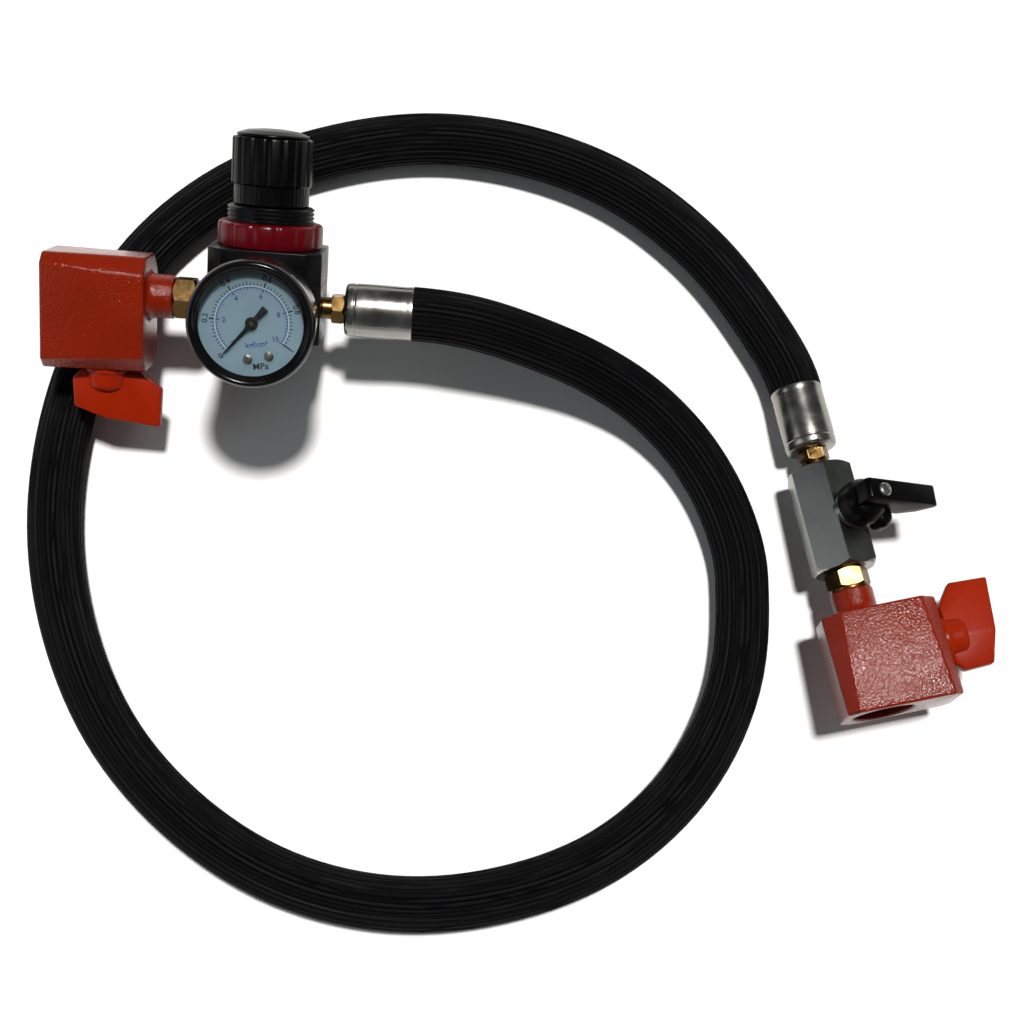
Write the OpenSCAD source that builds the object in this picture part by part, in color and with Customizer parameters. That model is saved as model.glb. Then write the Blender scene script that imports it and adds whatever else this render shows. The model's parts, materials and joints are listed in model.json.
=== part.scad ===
/* [Hose] */
// Outer diameter of the rubber hose
hose_od = 20; // [16:0.5:24]
// Outer diameter of the crimped ferrules
ferrule_od = 19.6; // [18:0.2:24]
// Length of each ferrule
ferrule_length = 25; // [20:1:32]
// Wall of the ferrule sleeve
ferrule_wall = 0.8; // [0.5:0.1:1.2]
// Bore of the hose, filled by the barbed tails
hose_bore = 8; // [6.5:0.5:10]

/* [Clamp coupler] */
// Length of the coupler block along its bore
block_length = 36.5; // [30:0.5:44]
// Width of the block from the plain side to the knob side
block_width = 41.5; // [38:0.5:50]
// Thickness of the block
block_thick = 27; // [25.5:0.5:33]
// Distance from the bore axis to the plain side
plain_side = 14.5; // [13:0.5:18]
// Diameter of the bore that takes the fitting
bore_d = 22.4; // [18:0.2:23]
// Depth of the bore
bore_depth = 22; // [18:0.5:26]
// Diameter of the round spigot
spigot_d = 15.8; // [13:0.2:19]
// Length of the round spigot
spigot_length = 9; // [8:0.5:12]
// Diameter of the clamp screw
clamp_screw_d = 7.9; // [6:0.1:9]
// Diameter of the clamp pad
pad_d = 11; // [9:0.5:12]
// Travel of the clamp pad into the bore from its resting place
clamp_travel = 1.2; // [0.6:0.1:1.6]
// Travel of the clamp pad back into its pocket
clamp_retreat = 3; // [1:0.25:4]
// Diameter of the wing knob's hub
hub_d = 16; // [14:0.5:16.5]
// Span of the wing
wing_span = 32.3; // [26:0.1:38]
// Reach of the wing from the block's side
wing_depth = 21.5; // [18:0.5:26]
// Thickness of the wing
wing_thick = 7; // [5:0.5:9]

/* [Regulator] */
// Width of the regulator body between its ports
body_w = 40; // [36:1:48]
// Height of the body above the port axis
body_top = 21; // [19:0.5:26]
// Height of the bonnet's flange
bonnet_flange = 12; // [10:0.5:13]
// Diameter of the bonnet's thread
neck_d = 30; // [29:0.5:33]
// Thickness of the lock ring
ring_height = 8.7; // [7:0.1:11]
// Outer diameter of the lock ring
ring_d = 37.5; // [35:0.5:42]
// Length of bonnet thread left bare above the lock ring
bare_thread = 5.8; // [4:0.1:8]
// Diameter of the pressure knob
knob_d = 28.5; // [27.5:0.5:34]
// Height of the pressure knob
knob_height = 26.5; // [24:0.5:32]

/* [Gauge] */
// Outer diameter of the gauge bezel
gauge_d = 43; // [40:0.5:50]
// Diameter of the dial
dial_d = 36; // [32:0.5:38]
// Distance from the port axis to the front of the gauge
gauge_reach = 51; // [49:0.5:60]
// Depth of the gauge from back to front
gauge_depth = 24; // [22:0.5:28]
// Angle of the scale's zero, measured from three o'clock
zero_angle = 230; // [200:1:260]

/* [Ball valve] */
// Width across the flats of the valve body
valve_af = 22; // [20:0.5:26]
// Length of the valve body
valve_length = 40; // [38:1:48]
// Diameter of the ball
ball_d = 13; // [11:0.5:14]
// Bore of the ball
ball_bore = 7; // [5:0.5:8]
// Length of the lever from the stem axis to its tip
lever_reach = 23.5; // [20:0.5:32]
// Width of the lever's blade
lever_w = 7.5; // [6:0.5:10]
// Height of the lever's top above the pipe axis
lever_top = 31.5; // [29:0.5:34]
// Angle by which the lever stands off its closed stop
lever_rest = 7; // [0:1:20]

/* [Fittings] */
// Width across the flats of the nipple hexagons
nipple_af = 14; // [13:0.5:17]
// Length of the nipple hexagons
nipple_hex = 8; // [6:0.5:10]
// Diameter of the threads that join the fittings
thread_d = 9.9; // [9:0.1:10.5]
// Width across the flats of the hose tails' hexagon
tail_af = 10; // [9.5:0.5:12]

/* [Hidden] */
$fn = 64;

// Clearances
run = 0.05;        // radial, between a shaft and its hole
slip = 0.3;        // between faces that pass one another
cut = 1;           // how far a cutter runs past a face

// Threads and passages
tap_r = thread_d / 2 + run;
thread_r = thread_d / 2;
thread_engage = 9;
passage_r = 2.5;
collar_length = 5.5;
tail_neck = 3.2;
tail_hex = 4.6;
tail_run = tail_neck + tail_hex;

// Where the two groups lie on the surface
left_at = [-90.6, 46.2, 41];
left_yaw = -3;
left_pitch = 4;
left_roll = 26;
right_at = [106.9, 21.2, 11];
right_yaw = -79;
right_pitch = 8;
right_roll = 2;
stem_tilt = 30;

// Stations along the left group, from the regulator's centre
left_spigot_end = -(body_w / 2 + collar_length + nipple_hex);
left_mouth = left_spigot_end - spigot_length - block_length;
left_exit = body_w / 2 + tail_run + ferrule_length;

// Stations along the right group, from the hose's end
valve_start = ferrule_length + tail_run;
valve_mid = valve_start + valve_length / 2;
valve_end = valve_start + valve_length;
right_spigot_end = valve_end + nipple_hex;
right_mouth = right_spigot_end + spigot_length + block_length;

// The hose's route between the two ferrules, chosen by hand
hose_between = [
    [-15.6, 40.2, 36.5], [8.4, 34.2, 29.5], [30.4, 26.2, 22], [50.4, 14.2, 15.5], [67.4, -3.8, 11.5],
    [79.4, -26.8, 10.2], [84.4, -50.8, 10], [80.4, -90.8, 10], [62.4, -125.8, 10], [32.4, -151.8, 10],
    [-5.6, -165.8, 10], [-45.6, -168.8, 10], [-84.6, -159.8, 10], [-118.6, -139.8, 10],
    [-146.6, -110.8, 10], [-164.6, -75.8, 10], [-173.6, -36.8, 10], [-172.6, 3.2, 10],
    [-162.6, 41.2, 10], [-143.6, 76.2, 10], [-112.6, 103.2, 10], [-75.6, 118.2, 10], [-35.6, 124.2, 10],
    [3.4, 119.2, 10], [40.4, 104.2, 10], [71.4, 79.2, 10], [94.4, 48.2, 10.1]
];
hose_sides = 12;

// ---- placement ----
module at_left() {
    translate(left_at) rotate([0, 0, left_yaw]) rotate([0, left_pitch, 0]) rotate([left_roll - 90, 0, 0])
        children();
}
module at_right() {
    translate(right_at) rotate([0, 0, right_yaw]) rotate([0, -right_pitch, 0]) rotate([right_roll, 0, 0])
        children();
}
module at_inlet_coupler() at_left() translate([left_mouth, 0, 0]) rotate([90, 0, 0]) children();
module at_outlet_coupler() at_right() translate([right_mouth, 0, 0]) rotate([0, 0, 180]) children();
module at_valve() at_right() translate([valve_mid, 0, 0]) rotate([-stem_tilt, 0, 0]) children();
module at_gauge() at_left() rotate([90, 0, 0]) children();

// ---- shared shapes ----
// A round bar along +X from x0 to x1
module bar(r, x0, x1) {
    translate([x0, 0, 0]) rotate([0, 90, 0]) cylinder(r = r, h = x1 - x0);
}
// A hexagon along +X with a flat facing +Z
module hex_bar(af, x0, x1) {
    translate([x0, 0, 0]) rotate([0, 90, 0]) rotate([0, 0, 30]) cylinder(d = af / cos(30), h = x1 - x0, $fn = 6);
}
// A round bar along +Z from z0 to z1
module post(r, z0, z1) {
    translate([0, 0, z0]) cylinder(r = r, h = z1 - z0);
}
module tube(r_out, r_in, z0, z1) {
    difference() {
        post(r_out, z0, z1);
        post(r_in, z0 - cut, z1 + cut);
    }
}
module torus(r_mean, r_wire, z) {
    translate([0, 0, z]) rotate_extrude() translate([r_mean, 0]) circle(r = r_wire, $fn = 24);
}
// A square with cut corners
module cut_square(w, d, c) {
    x = w / 2;
    y = d / 2;
    polygon([[x - c, -y], [x, c - y], [x, y - c], [x - c, y], [c - x, y], [-x, y - c], [-x, c - y], [c - x, -y]]);
}
// An open coil of round wire along +Z
module coil(r_mean, r_wire, z0, z1, turns) {
    steps = turns * 14;
    sides = 6;
    pitch = (z1 - z0 - 2 * r_wire) / turns;
    points = [for (i = [0 : steps], j = [0 : sides - 1])
        let (a = 360 * turns * i / steps, b = 360 * j / sides, r = r_mean + r_wire * cos(b))
        [r * cos(a), r * sin(a), z0 + r_wire + pitch * a / 360 + r_wire * sin(b)]];
    skin = [for (i = [0 : steps - 1], j = [0 : sides - 1])
        let (k = (j + 1) % sides)
        [i * sides + j, (i + 1) * sides + j, (i + 1) * sides + k, i * sides + k]];
    first = [for (j = [0 : sides - 1]) j];
    last = [for (j = [sides - 1 : -1 : 0]) steps * sides + j];
    polyhedron(points, concat(skin, [first, last]));
}

// ---- clamp coupler, bore along X from its mouth, knob towards -Y ----
knob_side = block_width - plain_side;
bore_r = bore_d / 2;
bevel_mouth = 3.6;
bevel_spigot = 6;
seal_r = bore_r - 2;
seal_thick = 3;
clamp_at = block_length - 15;
pad_r = pad_d / 2;
pad_thick = 4;
pad_front = bore_r + slip;
pocket_end = pad_front + pad_thick + clamp_retreat + 0.3;
screw_r = clamp_screw_d / 2;
screw_tip_r = screw_r / 2;
screw_tip = 1.6;
hub_r = hub_d / 2;
hub_sink = 0.6;
recess_depth = clamp_travel + hub_sink + 0.6;
hub_end = knob_side + 9;
wing_start = knob_side + clamp_travel + slip + 0.1;

module bevelled_slab(x, c) {
    translate([x, (plain_side - knob_side) / 2, 0]) rotate([90, 0, 90]) linear_extrude(height = 0.5)
        cut_square(block_width, block_thick, c);
}
// Turns +Z towards the knob, from the clamp screw's place on the bore axis
module at_clamp() {
    translate([clamp_at, 0, 0]) rotate([90, 0, 0]) children();
}
module coupler_body() {
    difference() {
        union() {
            hull() {
                bevelled_slab(0, bevel_mouth);
                bevelled_slab(block_length - 0.5, bevel_spigot);
            }
            bar(spigot_d / 2, block_length - 1, block_length + spigot_length);
        }
        bar(bore_r, -cut, bore_depth);
        bar(seal_r, bore_depth - cut, bore_depth + seal_thick);
        bar(passage_r, bore_depth, block_length + spigot_length + cut);
        bar(tap_r, block_length + spigot_length - thread_engage - 0.5, block_length + spigot_length + cut);
        at_clamp() {
            post(screw_r + run, 0, knob_side + cut);
            post(pad_r + slip, 0, pocket_end);
            post(hub_r + slip, knob_side - recess_depth, knob_side + cut);
        }
    }
}
module coupler_seal() {
    difference() {
        bar(seal_r - run, bore_depth, bore_depth + seal_thick);
        bar(passage_r + 1, bore_depth - cut, bore_depth + seal_thick + cut);
    }
}
module clamp_pad() {
    at_clamp() difference() {
        post(pad_r, pad_front, pad_front + pad_thick);
        post(screw_tip_r + run, pad_front + pad_thick - screw_tip - 0.1, pad_front + pad_thick + cut);
    }
}
module clamp_screw() {
    at_clamp() {
        post(screw_tip_r, pad_front + pad_thick - screw_tip, pad_front + pad_thick + 1);
        post(screw_r, pad_front + pad_thick + run, hub_end + 4);
    }
}
// The wing's outline: across, longer on the spigot's side, then outwards from the block
module wing_outline() {
    near = wing_start - knob_side;
    polygon([
        [-0.29 * wing_span, near], [0.36 * wing_span, near], [0.61 * wing_span, 0.35 * wing_depth],
        [0.595 * wing_span, wing_depth], [-0.015 * wing_span, 0.88 * wing_depth],
        [-0.37 * wing_span, 0.72 * wing_depth], [-0.39 * wing_span, 0.23 * wing_depth]
    ]);
}
module wing_knob() {
    at_clamp() difference() {
        union() {
            post(hub_r, knob_side - hub_sink, hub_end);
            translate([0, wing_thick / 2, knob_side]) rotate([90, 0, 0])
                linear_extrude(height = wing_thick) wing_outline();
        }
        post(screw_r, knob_side - hub_sink - cut, hub_end + 4);
    }
}
module nipple(x_coupler, x_hex, x_collar, x_end, collar_r) {
    difference() {
        union() {
            bar(thread_r, x_coupler, x_hex + 1);
            hex_bar(nipple_af, x_hex, x_collar);
            bar(collar_r, x_collar - 1, x_end - thread_engage);
            bar(thread_r, x_collar - 1, x_end);
        }
        bar(passage_r, x_coupler - cut, x_end + cut);
    }
}

// ---- hose fittings, flow along +X, hexagon at x = 0 to tail_run, ferrule beyond it ----
barb_r = hose_bore / 2;
module hose_tail() {
    difference() {
        union() {
            bar(thread_r, -thread_engage, 0.5);
            bar(4, 0, tail_neck + 0.5);
            hex_bar(tail_af, tail_neck, tail_run);
            bar(barb_r, tail_run - 0.5, tail_run + ferrule_length - 2);
        }
        bar(passage_r, -thread_engage - cut, tail_run + ferrule_length);
    }
}
module ferrule() {
    r = ferrule_od / 2;
    rim = 2.5;
    translate([tail_run, 0, 0]) rotate([0, 90, 0]) rotate_extrude() difference() {
        union() {
            translate([0, rim]) square([r, ferrule_length - rim]);
            square([r - rim, rim + 0.5]);
            translate([r - rim, rim]) circle(r = rim);
        }
        translate([-cut, 1.2]) square([r - ferrule_wall + cut, ferrule_length]);
        translate([-cut, -cut]) square([barb_r + run + cut, ferrule_length]);
    }
}
module hose_end() {
    difference() {
        bar(ferrule_od / 2 - ferrule_wall - run, tail_run + 1.2, tail_run + ferrule_length);
        bar(barb_r + run, tail_run, tail_run + ferrule_length - 2 + run);
        bar(passage_r, tail_run, tail_run + ferrule_length + cut);
    }
}

// ---- hose ----
function turned_z(v, a) = [v[0] * cos(a) - v[1] * sin(a), v[0] * sin(a) + v[1] * cos(a), v[2]];
function along(yaw, drop) = turned_z([cos(drop), 0, -sin(drop)], yaw);
function unit(v) = v / norm(v);
left_way = along(left_yaw, left_pitch);
right_way = along(right_yaw, -right_pitch);
hose_points = concat([left_at + left_exit * left_way], hose_between, [right_at]);
hose_last = len(hose_points) - 1;
function hose_way(i) =
    i == 0 ? left_way : i == hose_last ? right_way : unit(hose_points[i + 1] - hose_points[i - 1]);
module hose_tube() {
    r = hose_od / 2 / cos(180 / hose_sides);
    ring_points = [for (i = [0 : hose_last], j = [0 : hose_sides - 1])
        let (w = hose_way(i), side = unit(cross(w, [0, 0, 1])), up = cross(side, w),
            a = 360 * (j + 0.5) / hose_sides)
        hose_points[i] + r * (cos(a) * side + sin(a) * up)];
    skin = [for (i = [0 : hose_last - 1], j = [0 : hose_sides - 1], half = [0, 1])
        let (k = (j + 1) % hose_sides, a = i * hose_sides, b = a + hose_sides)
        half == 0 ? [a + j, a + k, b + k] : [a + j, b + k, b + j]];
    first = [for (j = [hose_sides - 1 : -1 : 0]) j];
    last = [for (j = [0 : hose_sides - 1]) hose_last * hose_sides + j];
    polyhedron(ring_points, concat(skin, [first, last]));
}

// ---- regulator, knob towards +Z, gauge towards -Y ----
body_bottom = -11.5;
body_d = body_w - 2;
deck = body_top - bonnet_flange;
cavity_r = 7;
seat_r = 3;
seat_z = 1;
head_r = 4.2;
head_thick = 2.2;
stem_r = 1.2;
diaphragm_r = 14.5;
diaphragm_thick = 1.2;
plate_thick = 2;
plate_z = deck + diaphragm_thick;
plug_r = 9;
plug_flange_r = 12;
plug_bottom = body_bottom - 7.5;
neck_r = neck_d / 2;
knob_z = body_top + ring_height + bare_thread;
knob_top = knob_z + knob_height;
stem_guide_r = 10.8;
stem_guide_top = knob_z + knob_height - 12;
spring_bore_r = 9.5;
screw_m = 3;
seat_nut_z = stem_guide_top - 10;
seat_nut_thick = 3.5;
nut_travel = 6;
port_in_z = -3.4;

module regulator_body() {
    difference() {
        union() {
            translate([0, 0, body_bottom]) linear_extrude(height = deck - body_bottom)
                cut_square(body_w, body_d, 5);
            translate([0, -body_d / 2 + 1, 0]) rotate([90, 0, 0]) post(8, 0, 3);
        }
        bar(tap_r, -body_w / 2 - cut, -body_w / 2 + thread_engage + 0.5);
        bar(tap_r, body_w / 2 - thread_engage - 0.5, body_w / 2 + cut);
        translate([0, 0, port_in_z]) bar(2, -body_w / 2 + thread_engage - 1, 0);
        translate([0, 0, -port_in_z]) bar(2, 0, body_w / 2 - thread_engage + 1);
        post(cavity_r, body_bottom, -seat_z);
        post(seat_r, -seat_z - cut, seat_z + cut);
        post(cavity_r, seat_z, deck + cut);
        post(plug_r + run, body_bottom - cut, -7);
        for (side = [0, 180]) rotate([90, 0, side])
            post(tap_r, body_d / 2 - thread_engage - 0.5, body_d / 2 + 3 + cut);
        translate([0, 0, -port_in_z]) rotate([90, 0, 0]) post(1.5, 0, body_d / 2 - thread_engage);
    }
}
module regulator_bonnet() {
    difference() {
        union() {
            translate([0, 0, deck]) linear_extrude(height = bonnet_flange) cut_square(body_w, body_w, 5);
            post(neck_r, body_top - 1, knob_z - slip);
            post(stem_guide_r, knob_z - 1, stem_guide_top);
        }
        post(diaphragm_r + run, deck - cut, deck + diaphragm_thick + 3);
        post(spring_bore_r, deck, stem_guide_top - 3);
        post(screw_m + run, deck, stem_guide_top + cut);
    }
}
module lock_ring() {
    scallops = 14;
    translate([0, 0, body_top]) difference() {
        cylinder(d = ring_d, h = ring_height);
        translate([0, 0, -cut]) cylinder(r = neck_r + run, h = ring_height + 2 * cut);
        for (i = [0 : scallops - 1]) rotate([0, 0, 360 * (i + 0.5) / scallops])
            translate([ring_d / 2 + 0.9, 0, -cut]) cylinder(r = 1.9, h = ring_height + 2 * cut, $fn = 24);
    }
}
module pressure_knob() {
    flutes = 24;
    difference() {
        post(knob_d / 2, knob_z, knob_top - 3);
        post(stem_guide_r + slip, knob_z - cut, knob_top - 8);
        post(screw_m + 0.5 + run, knob_z, knob_top + cut);
        post(knob_d / 2 - 3, knob_top - 5, knob_top);
        for (i = [0 : flutes - 1]) rotate([0, 0, 360 * i / flutes])
            translate([knob_d / 2 + 0.5, 0, knob_z + 3]) cylinder(r = 0.9, h = knob_height, $fn = 16);
    }
}
module knob_cap() {
    cap_r = knob_d / 2;
    crown_r = 3 * cap_r;
    difference() {
        union() {
            post(cap_r - 3 - run, knob_top - 5, knob_top - 3);
            translate([0, 0, knob_top - 3]) rotate_extrude() intersection() {
                square([cap_r - 0.6, 3]);
                translate([0, 3 - crown_r]) circle(r = crown_r, $fn = 180);
            }
        }
        post(screw_m + 0.5 + run, knob_top - 5 - cut, knob_top - 4);
    }
}
module adjusting_screw() {
    post(screw_m, seat_nut_z - nut_travel - 3, stem_guide_top + 0.5);
    post(screw_m + 0.5, stem_guide_top + 0.2, knob_top - 8 + 2.6);
}
module spring_seat_nut() {
    difference() {
        post(spring_bore_r - slip, seat_nut_z - seat_nut_thick, seat_nut_z);
        post(screw_m + run, seat_nut_z - seat_nut_thick - cut, seat_nut_z + cut);
    }
}
module adjusting_spring() coil(7, 0.9, plate_z + plate_thick, seat_nut_z - seat_nut_thick, 6);
module diaphragm() tube(diaphragm_r, stem_r + run, deck, deck + diaphragm_thick);
module diaphragm_plate() post(spring_bore_r - slip, plate_z, plate_z + plate_thick);
module valve_poppet() {
    post(head_r, -seat_z - head_thick, -seat_z);
    post(stem_r, -seat_z - 0.5, plate_z);
}
module poppet_spring() coil(3.2, 0.4, -7.5, -seat_z - head_thick, 4);
module bottom_plug() {
    difference() {
        union() {
            post(plug_r, body_bottom - 0.5, -8.5);
            translate([0, 0, plug_bottom]) cylinder(r = plug_flange_r, h = body_bottom - plug_bottom);
        }
        translate([0, 0, plug_bottom - cut]) linear_extrude(height = 3.5) square([18, 3], center = true);
        torus(plug_r - 0.7, 0.8, -10);
        post(4, -9.5, -8);
    }
    post(2, -9.5, -7.5);
}
module bottom_plug_oring() torus(plug_r - 0.72, 0.72, -10);
module rear_port_plug() {
    difference() {
        rotate([-90, 0, 0]) post(thread_r, body_d / 2 - thread_engage + 1, body_d / 2 + 0.5);
        rotate([-90, 0, 0]) rotate([0, 0, 30]) translate([0, 0, body_d / 2 - 4]) cylinder(r = 2.9, h = 6, $fn = 6);
    }
}

// ---- gauge, front towards +Z, twelve o'clock towards +Y ----
gauge_r = gauge_d / 2;
gauge_back = gauge_reach - gauge_depth;
case_r = gauge_r - 1;
case_wall = 1.4;
bezel_depth = 7;
bezel_back = gauge_reach - bezel_depth;
lens_z = gauge_reach - 2.5;
lens_thick = 1.5;
dial_z = gauge_reach - 6.5;
dial_thick = 0.6;
dial_r = dial_d / 2;
pointer_z = dial_z + dial_thick + 0.8;
arbor_r = 0.7;
pinion_r = 1.4;
sector_r = 8.4;
sector_gap = 0.15;
sector_pivot = [0, -(sector_r + pinion_r + sector_gap)];
back_plate_z = gauge_back + 7;
front_plate_z = gauge_back + 12;
movement_thick = 1.2;
sector_z = gauge_back + 9.4;
dial_screw_out = 12.3;
dial_screw_half = 17;
dial_turn = 12;

module gauge_socket() {
    socket_r = 5.5;
    difference() {
        union() {
            post(thread_r, body_d / 2 - thread_engage + 2, gauge_back - 3);
            translate([0, 0, body_d / 2 + 2]) linear_extrude(height = gauge_back - body_d / 2 - 2 + case_wall)
                cut_square(11, 11, 1.2);
            translate([0, -12, 0]) post(3, gauge_back + case_wall, gauge_back + 6);
            translate([-3, -12, gauge_back + case_wall]) cube([6, 15, 2.5]);
        }
        post(1.5, body_d / 2 - thread_engage, gauge_back + case_wall);
    }
}
module gauge_case() {
    difference() {
        post(case_r, gauge_back, bezel_back + 2);
        post(case_r - case_wall, gauge_back + case_wall, bezel_back + 3);
        translate([0, 0, gauge_back - cut]) linear_extrude(height = case_wall + 2 * cut) cut_square(11, 11, 1.2);
    }
}
module gauge_bezel() {
    difference() {
        post(gauge_r, bezel_back, gauge_reach);
        post(case_r + run, bezel_back - cut, bezel_back + 2);
        post(dial_r + 0.6, bezel_back, gauge_reach + cut);
        post(dial_r + 1.4, lens_z - lens_thick, lens_z);
    }
}
module gauge_lens() post(dial_r + 1.3, lens_z - lens_thick, lens_z);
module dial_screw_places() {
    for (side = [-1, 1]) rotate([0, 0, 270 + dial_turn + side * dial_screw_half]) translate([dial_screw_out, 0, 0])
        children();
}
module gauge_dial() {
    difference() {
        post(dial_r + 0.5, dial_z, dial_z + dial_thick);
        post(arbor_r + slip, dial_z - cut, dial_z + cut + dial_thick);
        dial_screw_places() post(0.9, dial_z - cut, dial_z + cut + dial_thick);
    }
}
module dial_screw(side) {
    rotate([0, 0, 270 + dial_turn + side * dial_screw_half]) translate([dial_screw_out, 0, 0]) {
        post(0.85, front_plate_z + movement_thick, dial_z + dial_thick + 0.1);
        post(1.7, dial_z + dial_thick, dial_z + dial_thick + 0.7);
    }
}
module gauge_pointer() {
    tip = 14.5;
    tail = 6.5;
    difference() {
        union() {
            rotate([0, 0, zero_angle]) translate([0, 0, pointer_z]) linear_extrude(height = 0.5)
                polygon([[tip, -0.2], [tip, 0.2], [0, 1.1], [-tail, 1.6], [-tail, -1.6], [0, -1.1]]);
            post(2.2, pointer_z, pointer_z + 0.9);
        }
        post(arbor_r, pointer_z - cut, pointer_z + 0.6);
    }
}
module pointer_arbor() {
    post(arbor_r, back_plate_z + movement_thick + 0.1, pointer_z + 0.6);
    post(pinion_r, sector_z - 0.2, sector_z + 1.6);
}
module sector_gear() {
    translate([sector_pivot[0], sector_pivot[1], 0]) {
        intersection() {
            post(sector_r, sector_z, sector_z + 1.2);
            translate([0, 0, sector_z - cut]) linear_extrude(height = 4)
                polygon([[0, -1.5], [9.5, 5.5], [9.5, 14], [-2.5, 14], [-2, 0]]);
        }
        post(arbor_r + 0.1, back_plate_z + movement_thick + 0.1, front_plate_z - 0.1);
    }
}
module movement_plate(z) {
    difference() {
        translate([0, 0, z]) linear_extrude(height = movement_thick)
            polygon([[-12, -9], [-8.5, -14.5], [10, -14.5], [12, -9], [8, 3.5], [-8, 3.5]]);
        post(arbor_r + run, z - cut, z + movement_thick + cut);
        dial_screw_places() post(0.9, z - cut, z + movement_thick + cut);
    }
}
module movement_back_plate() {
    movement_plate(back_plate_z);
    for (side = [-1, 1]) translate([side * 9, -9.6, 0])
        post(1, back_plate_z, front_plate_z);
    translate([0, -12, 0]) post(1.5, gauge_back + 6, back_plate_z);
}
module movement_front_plate() movement_plate(front_plate_z);
module bourdon_tube() {
    tube_r = case_r - case_wall - 3;
    z = gauge_back + case_wall + 0.8;
    difference() {
        tube(tube_r + 0.9, tube_r - 0.9, z, z + 4.6);
        translate([0, 0, z - cut]) linear_extrude(height = 4.6 + 2 * cut)
            polygon([[0, 0], [30, -52], [-30, -52], [-52, 0], [-52, 10]]);
    }
}

// ---- ball valve, pipe along X, stem towards +Z ----
valve_half = valve_length / 2;
ball_r = ball_d / 2;
ball_bore_r = ball_bore / 2;
chamber_r = ball_r + 0.6;
seat_thick = 2.4;
seat_at = ball_r - 1.6;
stem_shaft_r = 3;
boss_top = 14;
lever_bottom = boss_top + slip;
lever_hub_r = 8.5;
insert_start = seat_at + seat_thick;

module valve_body() {
    difference() {
        union() {
            hex_bar(valve_af, -valve_half, valve_half);
            post(6.5, 0, boss_top);
        }
        bar(chamber_r, -seat_at - seat_thick, valve_half - 2);
        bar(tap_r, -valve_half - cut, -valve_half + thread_engage + 0.5);
        bar(ball_bore_r, -valve_half, 0);
        bar(chamber_r + 1.2, insert_start, valve_half + cut);
        post(stem_shaft_r + run, 0, boss_top + cut);
    }
}
module valve_end_insert() {
    difference() {
        bar(chamber_r + 1.2 - run, insert_start, valve_half);
        bar(tap_r, valve_half - thread_engage - 0.5, valve_half + cut);
        bar(ball_bore_r, insert_start - cut, valve_half);
    }
}
module valve_ball() {
    rotate([0, 0, -lever_rest]) difference() {
        sphere(r = ball_r);
        rotate([-90, 0, 0]) post(ball_bore_r, -ball_r - cut, ball_r + cut);
        translate([-1.05, -ball_r, ball_r - 1.5]) cube([2.1, 2 * ball_r, 3]);
    }
}
module ball_seat(flip) {
    mirror([flip, 0, 0]) difference() {
        bar(chamber_r - run, seat_at, seat_at + seat_thick);
        bar(ball_bore_r, 0, seat_at + seat_thick + cut);
        sphere(r = ball_r + 0.02);
    }
}
module valve_stem() {
    rotate([0, 0, -lever_rest]) difference() {
        union() {
            post(stem_shaft_r, ball_r, lever_top - 3);
            translate([-1, -2.2, ball_r - 1.45]) cube([2, 4.4, 2]);
        }
        torus(stem_shaft_r - 0.4, 0.55, 11);
        post(1.4, lever_top - 9, lever_top);
    }
}
module stem_oring() torus(stem_shaft_r - 0.45, 0.45, 11);
module valve_lever() {
    blade_drop = 7.5;
    blade_low = lever_top - blade_drop;
    rotate([0, 0, -lever_rest]) difference() {
        union() {
            post(lever_hub_r, lever_bottom, blade_low - 1);
            post(lever_hub_r - 2, lever_bottom, blade_low + 1);
            translate([-lever_w / 2, 0, 0]) rotate([90, 0, 90]) linear_extrude(height = lever_w) polygon([
                [1 - lever_hub_r, lever_top], [lever_reach - 1, lever_top], [lever_reach, lever_top - 1],
                [lever_reach, lever_top - 2.5], [lever_reach - 7, blade_low], [1 - lever_hub_r, blade_low]
            ]);
        }
        post(stem_shaft_r + run, lever_bottom - cut, lever_top - 3 + run);
        post(1.6, lever_top - 4, lever_top + cut);
        post(3.1, lever_top - 1, lever_top + cut);
    }
}
module lever_screw() {
    rotate([0, 0, -lever_rest]) difference() {
        union() {
            post(1.35, lever_top - 8, lever_top - 0.5);
            post(2.9, lever_top - 1, lever_top + 0.6);
        }
        for (a = [0, 90]) rotate([0, 0, a]) translate([-1.8, -0.4, lever_top - 0.4]) cube([3.6, 0.8, 2]);
    }
}

// ---- colours ----
rubber = "#1b1b1e";
brass = "#b08d45";
steel = "#b9bcbe";
chrome = "#cfd3d5";
paint = "#d8432a";
wing_red = "#e8451f";
plastic = "#17181a";
ring_red = "#8f1726";
dial_white = "#cfe0e6";
clear = "#dfe8ea";

module inlet_coupler_body() color(paint) at_inlet_coupler() coupler_body();
module inlet_coupler_seal() color(rubber) at_inlet_coupler() coupler_seal();
module inlet_clamp_pad() color(steel) at_inlet_coupler() clamp_pad();
module inlet_clamp_screw() color(steel) at_inlet_coupler() clamp_screw();
module inlet_wing_knob() color(wing_red) at_inlet_coupler() wing_knob();
module inlet_nipple() color(brass) at_left() nipple(left_spigot_end - thread_engage, left_spigot_end,
    left_spigot_end + nipple_hex, thread_engage - body_w / 2, 6);
module outlet_coupler_body() color(paint) at_outlet_coupler() coupler_body();
module outlet_coupler_seal() color(rubber) at_outlet_coupler() coupler_seal();
module outlet_clamp_pad() color(steel) at_outlet_coupler() clamp_pad();
module outlet_clamp_screw() color(steel) at_outlet_coupler() clamp_screw();
module outlet_wing_knob() color(wing_red) at_outlet_coupler() wing_knob();
module outlet_nipple() color(brass) at_right() mirror([1, 0, 0]) nipple(-right_spigot_end - thread_engage,
    -right_spigot_end, -valve_end, thread_engage - valve_end, thread_r);
module at_inlet_tail() at_left() translate([body_w / 2, 0, 0]) children();
module at_outlet_tail() at_right() translate([valve_start, 0, 0]) rotate([0, 0, 180]) children();

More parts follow.
